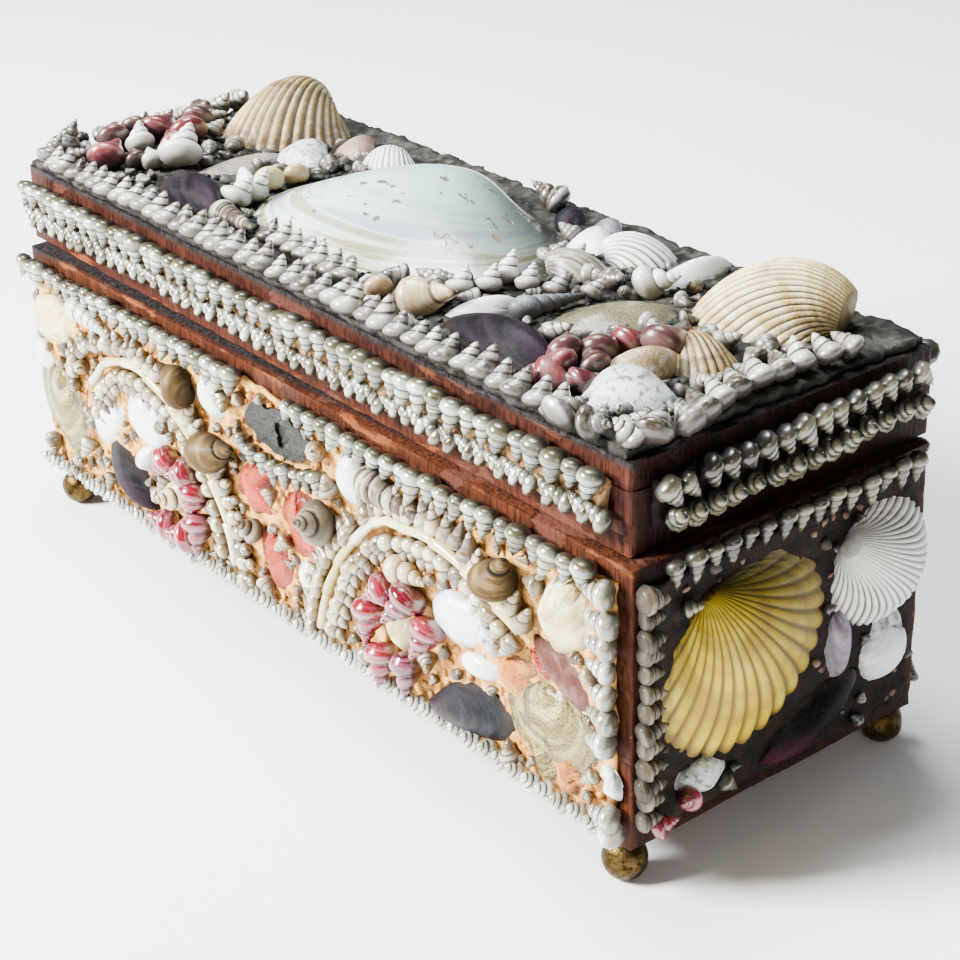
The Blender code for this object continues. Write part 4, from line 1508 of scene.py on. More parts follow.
@dataclass(frozen=True)
class LockPlate:
    """Thin iron plate with a leafy outline, pierced by a keyhole with a raised lip."""

    outline: Path = (
        (-18.4, -0.6), (-16.6, -3.4), (-13.0, -3.6), (-11.0, -6.2), (-6.5, -6.0), (-3.0, -7.2), (0.5, -6.8),
        (4.0, -7.2), (8.0, -5.8), (11.6, -5.2), (14.0, -3.2), (17.4, -2.4), (18.8, 0.6), (16.6, 3.4),
        (13.2, 3.2), (10.6, 5.2), (7.4, 5.0), (5.4, 7.2), (1.6, 7.9), (-2.2, 7.3), (-5.6, 5.9), (-9.4, 6.8),
        (-13.0, 5.8), (-15.2, 3.6))
    points: int = 88
    thickness: float = 0.7
    hole: float = 2.6
    slot_width: float = 1.3
    slot_drop: float = 5.6
    hole_across: float = 1.2
    hole_up: float = 1.4
    step: float = 0.5
    lip_border: float = 0.55
    lip: float = 0.45
    lip_width: float = 0.6
    leaf: float = 0.35
    leaf_size: float = 3.2
    longest: float = 1.2
    cuts: int = 7
    sunk: float = 0.1
    well_border: float = 0.3
    well_depth: float = 0.5
    well_sunk: float = 0.35

    def ring(self, mesh: BMesh, spots: list[Spot]) -> list[BMEdge]:
        """Draw a closed ring through spots."""
        verts = [mesh.verts.new((across * MM, up * MM, 0.0)) for across, up in spots]
        return [mesh.edges.new(pair) for pair in zip(verts, verts[1:] + verts[:1])]

    def keyhole(self, grow: float) -> list[Spot]:
        """Return the keyhole's outline, grown by a margin.

        Args:
            grow: Millimetres added all round.

        Returns:
            Spots round the hole.
        """
        spots = []
        for index in range(self.points):
            turn = 2.0 * math.pi * index / self.points - math.pi
            radius = self.hole + grow
            across, up = radius * math.cos(turn), radius * math.sin(turn)
            if up < 0.0 and abs(across) < self.slot_width + grow:
                up = -self.slot_drop - grow
            spots.append((across + self.hole_across, up + self.hole_up))
        return spots

    def build(self, finishes: Finishes) -> None:
        """Cut the plate, emboss it and sink a near-black cup behind its keyhole as painted shade.

        Args:
            finishes: Materials by their name.
        """
        low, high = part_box("lock_plate")
        middle = (low + high) / 2.0
        closed = [*self.outline, self.outline[0]]
        outer = [(across, up) for across, up, _ in smooth_path(closed, self.step)][:-1]
        outer = [outer[index * len(outer) // self.points] for index in range(self.points)]
        mesh = bmesh.new()
        lines = (self.keyhole(0.0), self.keyhole(self.lip_border), outer)
        rings = [self.ring(mesh, spots) for spots in lines]
        for inner, outside in zip(rings, rings[1:]):
            bmesh.ops.bridge_loops(mesh, edges=inner + outside)
        inside = [edge for edge in mesh.edges if not edge.is_boundary]
        spans = [edge for edge in inside if edge.calc_length() > self.longest * MM]
        bmesh.ops.subdivide_edges(mesh, edges=spans, cuts=self.cuts)
        bmesh.ops.recalc_face_normals(mesh, faces=mesh.faces[:])
        made = bmesh.ops.extrude_face_region(mesh, geom=mesh.faces[:], use_keep_orig=True)
        for vert in made_of(made, BMVert):
            away = (vert.co - Vector((self.hole_across, self.hole_up, 0.0)) * MM).length / MM
            lip = self.lip * math.exp(-((away - self.hole - self.lip_width) / self.lip_width) ** 2)
            leaf = noise.fractal(vert.co / (self.leaf_size * MM), *LEAF_NOISE) * self.leaf
            vert.co.z = (self.thickness + lip + leaf) * MM
        place = Face.FRONT.matrix().copy()
        place.translation = Vector((middle.x, high.y - self.sunk * MM, middle.z))
        bmesh.ops.transform(mesh, matrix=place, verts=mesh.verts[:])
        make_piece("lock_plate_iron", mesh, finishes["lock_iron"], "dull_metal", ("lock_plate",), False)
        # A near-black cup just behind the keyhole: painted shade inside the lock.
        mesh = bmesh.new()
        bmesh.ops.contextual_create(mesh, geom=self.ring(mesh, self.keyhole(self.well_border)))
        made = bmesh.ops.extrude_face_region(mesh, geom=mesh.faces[:], use_keep_orig=True)
        bmesh.ops.translate(mesh, vec=(0.0, 0.0, -self.well_depth * MM), verts=made_of(made, BMVert))
        place.translation.y += self.well_sunk * MM
        bmesh.ops.transform(mesh, matrix=place, verts=mesh.verts[:])
        make_piece("keyhole_well", mesh, finishes["keyhole_painted_shade"], "dull_metal", smooth=False)


def sweep(points: list[Vector], radii: list[float], sides: int = 12) -> BMesh:
    """Draw a round rod along points.

    Args:
        points: Its middle line, in metres.
        radii: Its radius at each point.
        sides: Points round it.

    Returns:
        A closed bmesh.
    """
    mesh = bmesh.new()
    frames = []
    for index, point in enumerate(points):
        way = (points[min(index + 1, len(points) - 1)] - points[max(index - 1, 0)]).normalized()
        place = way.to_track_quat("Z", "Y").to_matrix().to_4x4() @ Matrix.Scale(radii[index], 4)
        place.translation = point
        frames.append(place)
    bmesh.ops.create_circle(mesh, cap_ends=True, segments=sides, radius=1.0, matrix=frames[0])
    top = mesh.faces[:]
    for index, (last, place) in enumerate(zip(frames, frames[1:])):
        top = raise_cap(mesh, top, index == 0)
        bmesh.ops.transform(mesh, matrix=place @ last.inverted(), verts=top[0].verts[:])
    return mesh


# ---------------------------------------------------------------- layout

F, B, R, L, T = Face.FRONT, Face.BACK, Face.RIGHT, Face.LEFT, Face.TOP

VALVES = (
    Valve("lid_cockle_left", T, Form.COCKLE, 46, 40, 18, 118, "cockle_brown", "cockle_brown"),
    Valve("lid_cockle_right", T, Form.FINE_COCKLE, 42, 43, 18, 20, "cockle_cream", "cockle_cream"),
    Valve("lid_pearl_valve", T, Form.PEARL, 109, 73, 15, 98, "pearl", "pearl", shift=(-1.5, -3.0)),
    Valve("lid_mussel_left", T, Form.MUSSEL, 20, 50, 9, -15, "mussel_violet", "mussel"),
    Valve("lid_mussel_middle", T, Form.MUSSEL, 22, 52, 9, -8, "mussel_violet", "mussel"),
    Valve("lid_oyster_plate", T, Form.PLATE, 23, 39, 4, 62, "oyster_olive", "oyster"),
    Valve("lid_small_cockle", T, Form.SMALL_COCKLE, 20, 19, 8, 160, "cockle_small", "cockle_brown"),
    Valve("lid_white_clam", T, Form.CLAM, 26, 16, 8, 146, "grey_clam", "white_shell"),
    Valve("lid_ribbed_cockle", T, Form.SMALL_COCKLE, 18, 21, 9, 232, "white_cockle", "white_shell"),
    Valve("lid_violet_clam", T, Form.CLAM, 12, 10, 5, 110, "violet_shell", "violet_shell"),
    Valve("lid_slipper_shell", T, Form.LIMPET, 13, 18, 8, 225, "grey_slipper", "grey_shell"),
    Valve("lid_long_valve", T, Form.MUSSEL, 10, 29, 6, 82, "white_shell", "white_shell"),
    Valve("lid_ark_shell", T, Form.ARK, 20, 12, 7, 135, "white_cockle", "white_shell"),
    Valve("lid_back_mussel", T, Form.MUSSEL, 10, 26, 5, -42, "mussel_blue", "mussel"),
    Valve("front_cream_plate_left", F, Form.PLATE, 31, 18, 5, 100, "cream_shell", "cream_shell"),
    Valve("front_oyster_left", F, Form.PLATE, 34, 32, 4, 80, "oyster", "oyster"),
    Valve("front_tellin_far_left", F, Form.CLAM, 27, 13, 4, 135, "white_shell", "white_shell"),
    Valve("front_tellin_left", F, Form.CLAM, 25, 19, 5, 80, "white_shell", "white_shell"),
    Valve("front_mussel_left", F, Form.MUSSEL, 17, 33, 7, -20, "mussel_violet", "mussel"),
    Valve("front_tellin_upper_left", F, Form.CLAM, 14, 15, 5, 95, "white_shell", "white_shell"),
    Valve("front_jingle_left", F, Form.BROKEN, 24, 17, 4, 120, "jingle", "jingle"),
    Valve("front_jingle_low", F, Form.BROKEN, 19, 20, 4, 80, "jingle", "jingle"),
    Valve("front_jingle_middle", F, Form.BROKEN, 27, 23, 4, 110, "jingle", "jingle"),
    Valve("front_tellin_middle", F, Form.CLAM, 16, 17, 5, 75, "white_shell", "white_shell"),
    Valve("front_tellin_right", F, Form.CLAM, 26, 17, 5, 105, "white_shell", "white_shell"),
    Valve("front_tellin_low_right", F, Form.CLAM, 18, 8, 4, 100, "white_shell", "white_shell"),
    Valve("front_mussel_right", F, Form.MUSSEL, 17, 37, 7, 194, "mussel_blue", "mussel", shift=(3.0, 0.0)),
    Valve("front_cream_plate_right", F, Form.PLATE, 20, 25, 6, 65, "cream_shell", "cream_shell"),
    Valve("front_jingle_right", F, Form.BROKEN, 13, 8, 3, 90, "jingle", "jingle"),
    Valve("front_oyster_right", F, Form.PLATE, 38, 26, 4, 100, "oyster", "oyster"),
    Valve("right_scallop", R, Form.SCALLOP, 62, 55, 12, 122, "scallop", "scallop", shift=(-0.5, -1.5)),
    Valve("right_cockle", R, Form.FINE_COCKLE, 38, 39, 13, 143, "white_cockle", "white_shell"),
    Valve("right_limpet", R, Form.LIMPET, 14, 17, 8, 70, "white_shell", "white_shell"),
    Valve("right_mussel", R, Form.MUSSEL, 14, 40, 7, 198, "mussel_black", "mussel"),
    Valve("left_scallop", L, Form.SCALLOP, 50, 48, 11, 80, "scallop", "scallop"),
    Valve("left_cockle", L, Form.COCKLE, 32, 32, 12, 60, "cockle_cream", "cockle_cream"),
    Valve("back_scallop", B, Form.SCALLOP, 48, 46, 11, 90, "scallop", "scallop"),
    Valve("back_mussel_left", B, Form.MUSSEL, 18, 36, 7, 150, "mussel_blue", "mussel"),
    Valve("back_mussel_right", B, Form.MUSSEL, 18, 36, 7, 30, "mussel_blue", "mussel"),
    Valve("front_pale_blue_bit", F, Form.CLAM, 11, 12, 4, 100, "white_shell", "white_shell",
        loose=(-145, 44)),
    Valve("front_jingle_curl", F, Form.MUSSEL, 8, 22, 5, 30, "jingle", "jingle", loose=(-12, 47)),
    Valve("front_jingle_scrap", F, Form.MUSSEL, 8, 20, 4, 155, "jingle", "jingle", loose=(14, 35)),
    Valve("front_white_square", F, Form.PLATE, 13, 15, 4, 75, "white_shell", "white_shell", loose=(11, 21)),
    Valve("front_white_crescent", F, Form.MUSSEL, 8, 18, 4, 40, "white_shell", "white_shell",
        loose=(-83, 27)),
    Valve("front_banded_white", F, Form.CLAM, 15, 9, 4, 20, "grey_clam", "white_shell", loose=(96, 41)),
    Valve("front_cream_heart", F, Form.CLAM, 10, 15, 7, 105, "cream_shell", "cream_shell", loose=(59, 26)),
    Valve("front_orange_scrap", F, Form.BROKEN, 16, 14, 4, 150, "peach_shell", "jingle", loose=(108, 33)),
    Valve("front_red_brown_flap", F, Form.MUSSEL, 12, 28, 4, 150, "pink_clam", "violet_shell",
        loose=(127, 42)),
    Valve("front_olive_leaf", F, Form.BROKEN, 17, 14, 3, 90, "oyster", "oyster", loose=(117, 12)),
    Valve("front_peach_scrap", F, Form.BROKEN, 13, 11, 4, 80, "peach_shell", "jingle", loose=(129, 13)),
    Valve("front_white_corner_bit", F, Form.BROKEN, 10, 9, 4, 60, "white_shell", "white_shell",
        loose=(144, 19)),
    Valve("right_grey_oval", R, Form.CLAM, 12, 24, 4, 95, "violet_shell", "violet_shell", loose=(20, 33)),
    Valve("right_banded_valve", R, Form.CLAM, 17, 23, 5, 80, "grey_clam", "grey_shell", loose=(38, 27)),
    Valve("right_holed_valve", R, Form.BROKEN, 19, 13, 4, 100, "grey_clam", "grey_shell", loose=(-31, 14)),
    Valve("lid_pink_clam", T, Form.CLAM, 15, 16, 6, 100, "blush_clam", "violet_shell", loose=(-80, 31)),
    Valve("lid_glassy_sliver", T, Form.MUSSEL, 12, 34, 4, 80, "grey_slipper", "grey_shell",
        loose=(-95, -5)),
    Valve("lid_grey_clam", T, Form.CLAM, 22, 17, 7, 100, "grey_clam", "grey_shell", loose=(-86, 14)),
    Valve("lid_pointed_white", T, Form.MUSSEL, 8, 16, 5, 160, "white_shell", "white_shell",
        loose=(-79, -13)),
    Valve("lid_white_under_violet", T, Form.CLAM, 17, 16, 6, 120, "white_shell", "white_shell",
        loose=(40, 31)),
    Valve("lid_tan_bean", T, Form.CLAM, 12, 21, 9, 58, "tan_clam", "tan_shell", loose=(117, -22)),
    Valve("lid_blue_white_valve", T, Form.MUSSEL, 9, 23, 5, 66, "white_shell", "white_shell",
        loose=(56, -24)),
)

BEDS = (
    Bed("bed_front", F, "putty", "putty", lump=1.0),
    Bed("bed_back", B, "putty", "putty", grid=2.2),
    Bed("bed_right", R, "cream_putty", "dark_putty"),
    Bed("bed_left", L, "cream_putty", "dark_putty"),
    Bed("lid_band_front", Face.LID_FRONT, "band_putty", "putty", trim=2.2),
    Bed("lid_band_back", Face.LID_BACK, "band_putty", "putty", trim=2.2),
    Bed("lid_band_right", Face.LID_RIGHT, "cream_putty", "putty", trim=1.6),
    Bed("lid_band_left", Face.LID_LEFT, "cream_putty", "putty", trim=1.6),
    Bed("lid_bed_top", T, "dark_putty", "dark_putty", lump=1.3),
)

BOXES = (
    WoodBox("box_body", "papered_box", "papered_wood", "papered_wood"),
    WoodBox("lid", "papered_lid", "lid_wood", "lid_wood", floor=7.5, open_up=False, arris=1.6, board=7.5),
)


class Kind(Enum):
    """Coiled shells by how finely they are wound."""

    TOP = Whorls(3, 10, 3, 0.66, 0.13)
    BEAD = Whorls(3, 10, 3, 0.66, 0.25)
    CONE = Whorls(3, 10, 3, 0.56, 0.10)
    RIB = Whorls(2, 10, 3, 0.50, 0.30)
    ROSE = Whorls(4, 24, 8, 0.56, 0.34)
    PERIWINKLE = Whorls(2, 24, 8, 0.36, 0.10)
    FLAKE = Flake()
    CRUMB = Crumb()
    AUGER = Whorls(8, 22, 6, 0.79, 0.16)
    WHELK = Whorls(5, 22, 7, 0.64, 0.26, 12, 0.02)


ROW_SLIP = 0.35
ROW_LEAN = 5.0


@dataclass(frozen=True)
class Row:
    """Small shells pressed in one after another along a curve; millimetres and degrees."""

    name: str
    face: Face
    path: Path
    spacing: float
    size: Spot
    apex: float
    finish: str
    slot: str = "white_shell"
    follow: bool = False
    lean: float = 8.0
    kind: Kind = Kind.TOP
    sink: float = 0.3
    jitter: float = 9.0

    def build(self, masters: dict[Kind, Mesh], finishes: Finishes) -> None:
        """Press in every shell of the row.

        Args:
            masters: Unit shells by their kind.
            finishes: Materials by their name.
        """
        cluster = Cluster(self.face)
        for across, up, heading in smooth_path(list(self.path), self.spacing):
            apex = self.apex + (heading if self.follow else 0.0) + CHANCE.gauss(0.0, self.jitter)
            grow = CHANCE.gauss(1.0, 0.06)
            size = (self.size[0] * grow, self.size[1] * grow * CHANCE.gauss(1.0, 0.03))
            across, up = across + CHANCE.gauss(0.0, ROW_SLIP), up + CHANCE.gauss(0.0, ROW_SLIP)
            lean = self.lean + CHANCE.gauss(0.0, ROW_LEAN)
            cluster.add(masters[self.kind], across, up, apex, size, lean, sink=self.sink)
        cluster.finish(self.name, finishes[self.finish], self.slot)


LEFT_ARCH = ((-108, 47), (-104, 51), (-98, 57), (-85, 61.5), (-75, 62), (-62, 58), (-55, 54), (-48, 49),
             (-40, 42), (-33, 33), (-28, 22), (-27, 12))
RIGHT_ARCH = ((20, 11), (23, 22), (28, 32), (33, 40), (40, 48), (48, 56), (55, 60), (60, 60.5), (70, 62),
              (80, 61.5), (90, 59), (100, 55), (108, 52), (112, 50))

ROWS = (
    Row("front_upper_row_left", F, ((-149, 76), (-21, 76)), 6.2, (10, 6.9), -104, "top_pearl",
        kind=Kind.BEAD, jitter=6.0),
    Row("front_upper_row_right", F, ((8, 76), (136, 76)), 6.2, (10, 6.9), -104, "top_pearl", kind=Kind.BEAD,
        jitter=6.0),
    Row("front_lower_row", F, ((-146, 6.8), (146, 6.8)), 6.2, (6.4, 6.0), 120, "top_white", lean=50,
        kind=Kind.BEAD),
    Row("front_right_column", F, ((142.5, 32), (142.5, 75)), 7.1, (11, 7.4), 176, "top_white",
        kind=Kind.BEAD, jitter=7.0),
    Row("front_right_column_foot", F, ((144, 6.5), (144, 10)), 7.1, (12, 8), 170, "top_white",
        kind=Kind.BEAD),
    Row("front_left_outer_arch", F, ((-124, 42), (-123, 50), (-119, 56), (-110, 61), (-100, 65.5),
        (-90, 68), (-80, 68.5), (-70, 66), (-60, 62)), 4.8, (9, 5.6), 90, "top_tan", follow=True, lean=6,
        jitter=2.0, kind=Kind.RIB),
    Row("front_left_outer_leg", F, ((-47, 57), (-38, 50), (-30, 40), (-24, 30), (-20, 20), (-19, 10)), 5.0,
        (9, 6.0), 90, "top_tan", follow=True, jitter=5.0, kind=Kind.RIB),
    Row("front_left_inner_arch", F, ((-105, 36), (-102, 42), (-96, 49), (-86, 54), (-75, 55), (-65, 52),
        (-57, 48), (-50, 42), (-43, 35), (-38, 26), (-36, 14)), 4.7, (9, 5.6), -90, "top_tan", follow=True,
        lean=6, jitter=2.0, kind=Kind.RIB),
    Row("front_right_outer_leg", F, ((12, 10), (16, 24), (22, 36), (29, 45), (36, 52)), 5.1, (9.5, 6.0), 90,
        "top_tan", follow=True, jitter=5.0, kind=Kind.CONE),
    Row("front_right_outer_arch", F, ((44, 60), (50, 64), (57, 67), (68, 69.5), (80, 69.5), (92, 66.5),
        (104, 61), (114, 55)), 5.0, (10.5, 6.1), 90, "top_tan", follow=True, jitter=5.0, kind=Kind.CONE),
    Row("front_right_inner_leg", F, ((28, 12), (31, 22), (36, 31), (41, 38), (48, 46)), 5.1, (9, 6.0), -90,
        "top_tan", follow=True, jitter=5.0, kind=Kind.RIB),
    Row("front_right_inner_arch", F, ((52, 49), (60, 53), (70, 55.5), (80, 55.5), (90, 52.5), (100, 48),
        (107, 43)), 5.1, (9.5, 6.0), -90, "top_tan", follow=True, jitter=5.0, kind=Kind.RIB),
    Row("front_plate_garland", F, ((-18, 56), (-8, 54), (4, 54), (16, 56), (22, 58)), 5.6, (8.5, 6), -80,
        "top_pearl", kind=Kind.BEAD),
    Row("lid_front_upper_row", Face.LID_FRONT, ((-145, 17.4), (141, 17.4)), 6.7, (10.4, 7.4), -100,
        "top_pearl", kind=Kind.BEAD, jitter=5.0),
    Row("lid_front_lower_row", Face.LID_FRONT, ((-142, 11.2), (144, 10.8)), 6.5, (9.0, 6.3), 142,
        "top_pearl", lean=12, kind=Kind.BEAD, jitter=7.0),
    Row("lid_back_upper_row", Face.LID_BACK, ((-144, 16.6), (144, 16.6)), 6.8, (10.5, 7), -72, "top_pearl"),
    Row("lid_back_lower_row", Face.LID_BACK, ((-142, 10), (142, 10)), 6.8, (7.5, 7), 80, "top_pearl",
        lean=38),
    Row("lid_right_upper_row", Face.LID_RIGHT, ((-44, 15.5), (-20, 16.5), (14, 19)), 6.6, (10.5, 7.2), -62,
        "top_painted_shade", kind=Kind.BEAD, jitter=6.0),
    Row("lid_right_upper_row_end", Face.LID_RIGHT, ((21, 19), (45, 20)), 6.2, (8.4, 6.2), -60, "top_painted_shade",
        kind=Kind.BEAD),
    Row("lid_right_lower_row", Face.LID_RIGHT, ((-43, 9.8), (0, 11), (44, 13.4)), 6.6, (7.0, 7.0), 100,
        "top_painted_shade", lean=66, kind=Kind.BEAD, jitter=12.0),
    Row("lid_left_upper_row", Face.LID_LEFT, ((-44, 16.5), (44, 16.5)), 6.8, (10.5, 7), -72, "top_pearl"),
    Row("lid_left_lower_row", Face.LID_LEFT, ((-44, 10), (44, 10)), 6.8, (7.5, 7), 80, "top_pearl",
        lean=38),
    Row("top_front_border", T, ((-132, -52), (124, -52)), 7.3, (9.8, 8.3), 104, "top_grey", lean=54,
        jitter=9.0, kind=Kind.CONE),
    Row("top_front_second_row", T, ((-26, -37), (16, -40)), 7.3, (9.4, 8.2), 104, "top_grey", lean=54,
        jitter=9.0, kind=Kind.CONE),
    Row("top_right_border", T, ((146, -27), (142, -9), (142, 28)), 7.6, (12, 9), 165, "top_grey", lean=25,
        kind=Kind.CONE),
    Row("top_left_border", T, ((-147, -42), (-147, 30)), 7.6, (10, 7.6), 5, "top_grey", lean=45),
    Row("right_left_column", R, ((-50, 11), (-50, 75)), 5.5, (9, 6.6), -8, "top_dusty", kind=Kind.BEAD,
        jitter=8.0),
    Row("right_top_row", R, ((-42, 79), (44, 79.5)), 6.3, (8.4, 5.6), 262, "top_painted_shade", kind=Kind.BEAD,
        jitter=6.0),
    Row("left_top_row", L, ((-46, 75), (46, 75)), 6.4, (9, 6.6), -100, "top_pearl"),
    Row("left_low_row", L, ((-46, 7.5), (46, 7.5)), 6.4, (8, 6.4), 80, "top_pearl", lean=20),
    Row("left_front_column", L, ((47, 15), (47, 68)), 6.7, (9, 6.8), 180, "top_tan"),
    Row("left_back_column", L, ((-47, 15), (-47, 68)), 6.7, (9, 6.8), 0, "top_tan"),
    Row("back_top_row", B, ((-144, 75), (144, 75)), 6.3, (9, 6.6), -100, "top_pearl"),
    Row("back_low_row", B, ((-144, 7.5), (144, 7.5)), 6.3, (8, 6.4), 80, "top_pearl", lean=20),
    Row("back_left_arch", B, ((-124, 14), (-120, 34), (-104, 56), (-82, 62), (-60, 56), (-48, 38),
        (-44, 14)), 6.2, (8.5, 6.4), 90, "top_tan", follow=True),
    Row("back_right_arch", B, ((44, 14), (48, 38), (60, 56), (82, 62), (104, 56), (120, 34), (124, 14)),
        6.2, (8.5, 6.4), 90, "top_tan", follow=True),
)


@dataclass(frozen=True)
class Single:
    """One larger coiled shell, listed on its own."""

    across: float
    up: float
    apex: float
    length: float
    girth: float
    lean: float = 5.0
    tint: float = 0.5
    roll: float = 180.0


@dataclass(frozen=True)
class Group:
    """Larger coiled shells of one kind that make one piece."""

    name: str
    face: Face
    kind: Kind
    finish: str
    slot: str
    singles: tuple[Single, ...]
    replaces: tuple[str, ...] = ()

    def build(self, masters: dict[Kind, Mesh], finishes: Finishes) -> None:
        """Press in every shell of the group.

        Args:
            masters: Unit shells by their kind.
            finishes: Materials by their name.
        """
        cluster = Cluster(self.face)
        for one in self.singles:
            cluster.add(masters[self.kind], one.across, one.up, one.apex, (one.length, one.girth), one.lean,
                        one.tint, one.roll)
        cluster.finish(self.name, finishes[self.finish], self.slot, self.replaces)


GROUPS = (
    Group("lid_auger_left_shell", T, Kind.AUGER, "auger_banded", "grey_shell",
        (Single(-42, -40, -6, 27, 9.5, 6, 0.7),), ("lid_auger_left",)),
    Group("lid_auger_middle_shell", T, Kind.AUGER, "auger_grey", "grey_shell",
        (Single(69, -9, 82, 26, 7.5, 0, 0.2),), ("lid_auger_middle",)),
    Group("front_banded_snail_shell", F, Kind.PERIWINKLE, "brown_snail", "tan_shell",
        (Single(-53, 67, 168, 20, 12, 0, 0.4),), ("front_banded_snail",)),
    Group("front_periwinkle_shell", F, Kind.PERIWINKLE, "brown_snail", "tan_shell",
        (Single(-30, 50, 25, 21, 13, 0, 0.2),), ("front_periwinkle",)),
    Group("front_whelk_shell", F, Kind.AUGER, "auger_banded", "tan_shell",
        (Single(60, 68, -6, 30, 10, 2, 0.2),), ("front_whelk",)),
    Group("front_left_rosette", F, Kind.ROSE, "rose_snail", "jingle",
        (Single(-63, 34, 225, 15, 11, 15, 0.1), Single(-52, 35, 200, 15, 11, 20, 0.6),
        Single(-46, 27, 260, 15, 11, 20, 0.3), Single(-45, 16, 275, 15, 11, 15, 0.5),
        Single(-56, 12, 190, 15, 11, 20, 0.2), Single(-68, 12, 180, 16, 10, 15, 0.4))),
    Group("front_right_rosette", F, Kind.ROSE, "rose_snail", "jingle",
        (Single(52, 37, 215, 15, 11, 15, 0.35), Single(64, 38, 235, 16, 12, 30, 0.75),
        Single(73, 31, 250, 15, 11, 25, 0.25), Single(47, 25, 272, 16, 11, 15, 0.3),
        Single(52, 13, 272, 15, 11, 15, 0.1), Single(63, 14, 275, 16, 10, 10, 0.95))),
    Group("front_rosette_hearts", F, Kind.ROSE, "cream_snail", "cream_shell",
        (Single(-59, 24, 90, 11, 10, 75, 0.1, 0.0),)),
    Group("front_banded_auger", F, Kind.AUGER, "auger_white", "white_shell",
        (Single(-104, 70, -8, 28, 8, 4, 0.4),)),
    Group("front_grey_lumps", F, Kind.ROSE, "top_dusty", "white_shell",
        (Single(26, 50, 60, 15, 14, 66, 0.2), Single(-14, 31, 100, 10, 8, 50, 0.5))),
    Group("front_dark_periwinkle", F, Kind.PERIWINKLE, "brown_snail", "tan_shell",
        (Single(107, 66, 60, 15, 13, 10, 0.3),)),
    Group("front_small_whelk", F, Kind.WHELK, "cream_snail", "cream_shell",
        (Single(65, 47, 2, 17, 8.5, 4, 0.5),)),
    Group("right_low_pinks", R, Kind.ROSE, "rose_snail", "jingle", (Single(-46, 8, 20, 8, 7, 30, 0.1),
        Single(-39, 12, 160, 9, 7, 30, 0.2))),
    Group("top_left_rosette", T, Kind.PERIWINKLE, "faded_rose", "jingle",
        (Single(-122, -37, 128, 15, 12, 22, 0.2), Single(-127, -4, 150, 16, 13, 25, 0.5),
        Single(-122, -14, 165, 13, 10, 20, 0.7), Single(-136, -9, 120, 14, 12, 25, 0.8))),
    Group("top_left_dusky", T, Kind.PERIWINKLE, "dusky_rose", "jingle",
        (Single(-141, -25, 150, 14, 11, 20, 0.3), Single(-145, -13, 130, 12, 10, 20, 0.9),
        Single(-138, 8, 120, 13, 11, 20, 0.9), Single(-117, -31, 160, 10, 8, 20, 0.8))),
    Group("top_left_whites", T, Kind.ROSE, "white_snail", "white_shell",
        (Single(-131, -21, 150, 14, 10, 35, 0.4), Single(-107, -18, 125, 17, 14.5, 42, 0.3),
        Single(-114, -27, 160, 11, 8, 20, 0.8), Single(-61, -19, 80, 12, 9, 55, 0.6),
        Single(-60, -26, 80, 12, 10, 45, 0.5), Single(44, -20, 100, 9, 8, 60, 0.3),
        Single(48, -13, 100, 9, 8, 60, 0.3), Single(46, -5, 100, 11, 8.5, 60, 0.2),
        Single(54, -4, 100, 9, 7, 60, 0.6), Single(81, 20, 30, 14, 10, 20, 0.2, 230.0))),
    Group("top_creams", T, Kind.PERIWINKLE, "cream_snail", "cream_shell",
        (Single(-69, -10, 150, 13, 10, 10, 0.1), Single(48, -34, 20, 18, 12, 15, 0.6, 300.0),
        Single(-69, 1, 140, 10, 8, 10, 0.9), Single(28, -37, 140, 12, 8, 10, 0.8))),
    Group("top_right_rosette", T, Kind.PERIWINKLE, "faded_rose", "jingle",
        (Single(112, -43, 20, 14, 10, 8, 0.3), Single(117, -37, 60, 10, 8, 15, 0.95),
        Single(103, -36, 170, 14, 10, 10, 0.2), Single(104, -43, 140, 11, 8, 10, 0.7),
        Single(108, -12, 80, 13, 10, 12, 0.6))),
    Group("top_right_dusky", T, Kind.PERIWINKLE, "dusky_rose", "jingle",
        (Single(98, -28, 140, 15, 10, 10, 0.4), Single(104, -20, 120, 15, 10, 12, 0.6),
        Single(115, -6, 95, 17, 12, 10, 0.5), Single(109, -29, 160, 12, 9, 20, 0.9))),
    Group("top_corner_pearls", T, Kind.ROSE, "top_grey", "white_shell",
        (Single(-145, -40, 100, 13, 10, 55, 0.9), Single(-139, -49, 100, 11, 9, 50, 0.8),
        Single(128, -53, 75, 12, 10, 20, 0.7), Single(138, -53, 15, 10, 9, 15, 0.95),
        Single(146, -51, 230, 9, 8, 50, 0.2), Single(149, -43, 115, 12, 10, 30, 0.95),
        Single(149, -34, 170, 11, 9, 20, 0.6), Single(45, 13, 60, 10, 8, 45, 0.7),
        Single(50, 17, 90, 9, 7, 45, 0.5), Single(6, 43, 200, 14, 10, 30, 0.9))),
)


PROBES = 7
PROBE_TURN = math.radians(60.0)
PROBE_REACH = 0.85
PROBE_HEIGHT = 40.0
CLEARANCE = 0.42


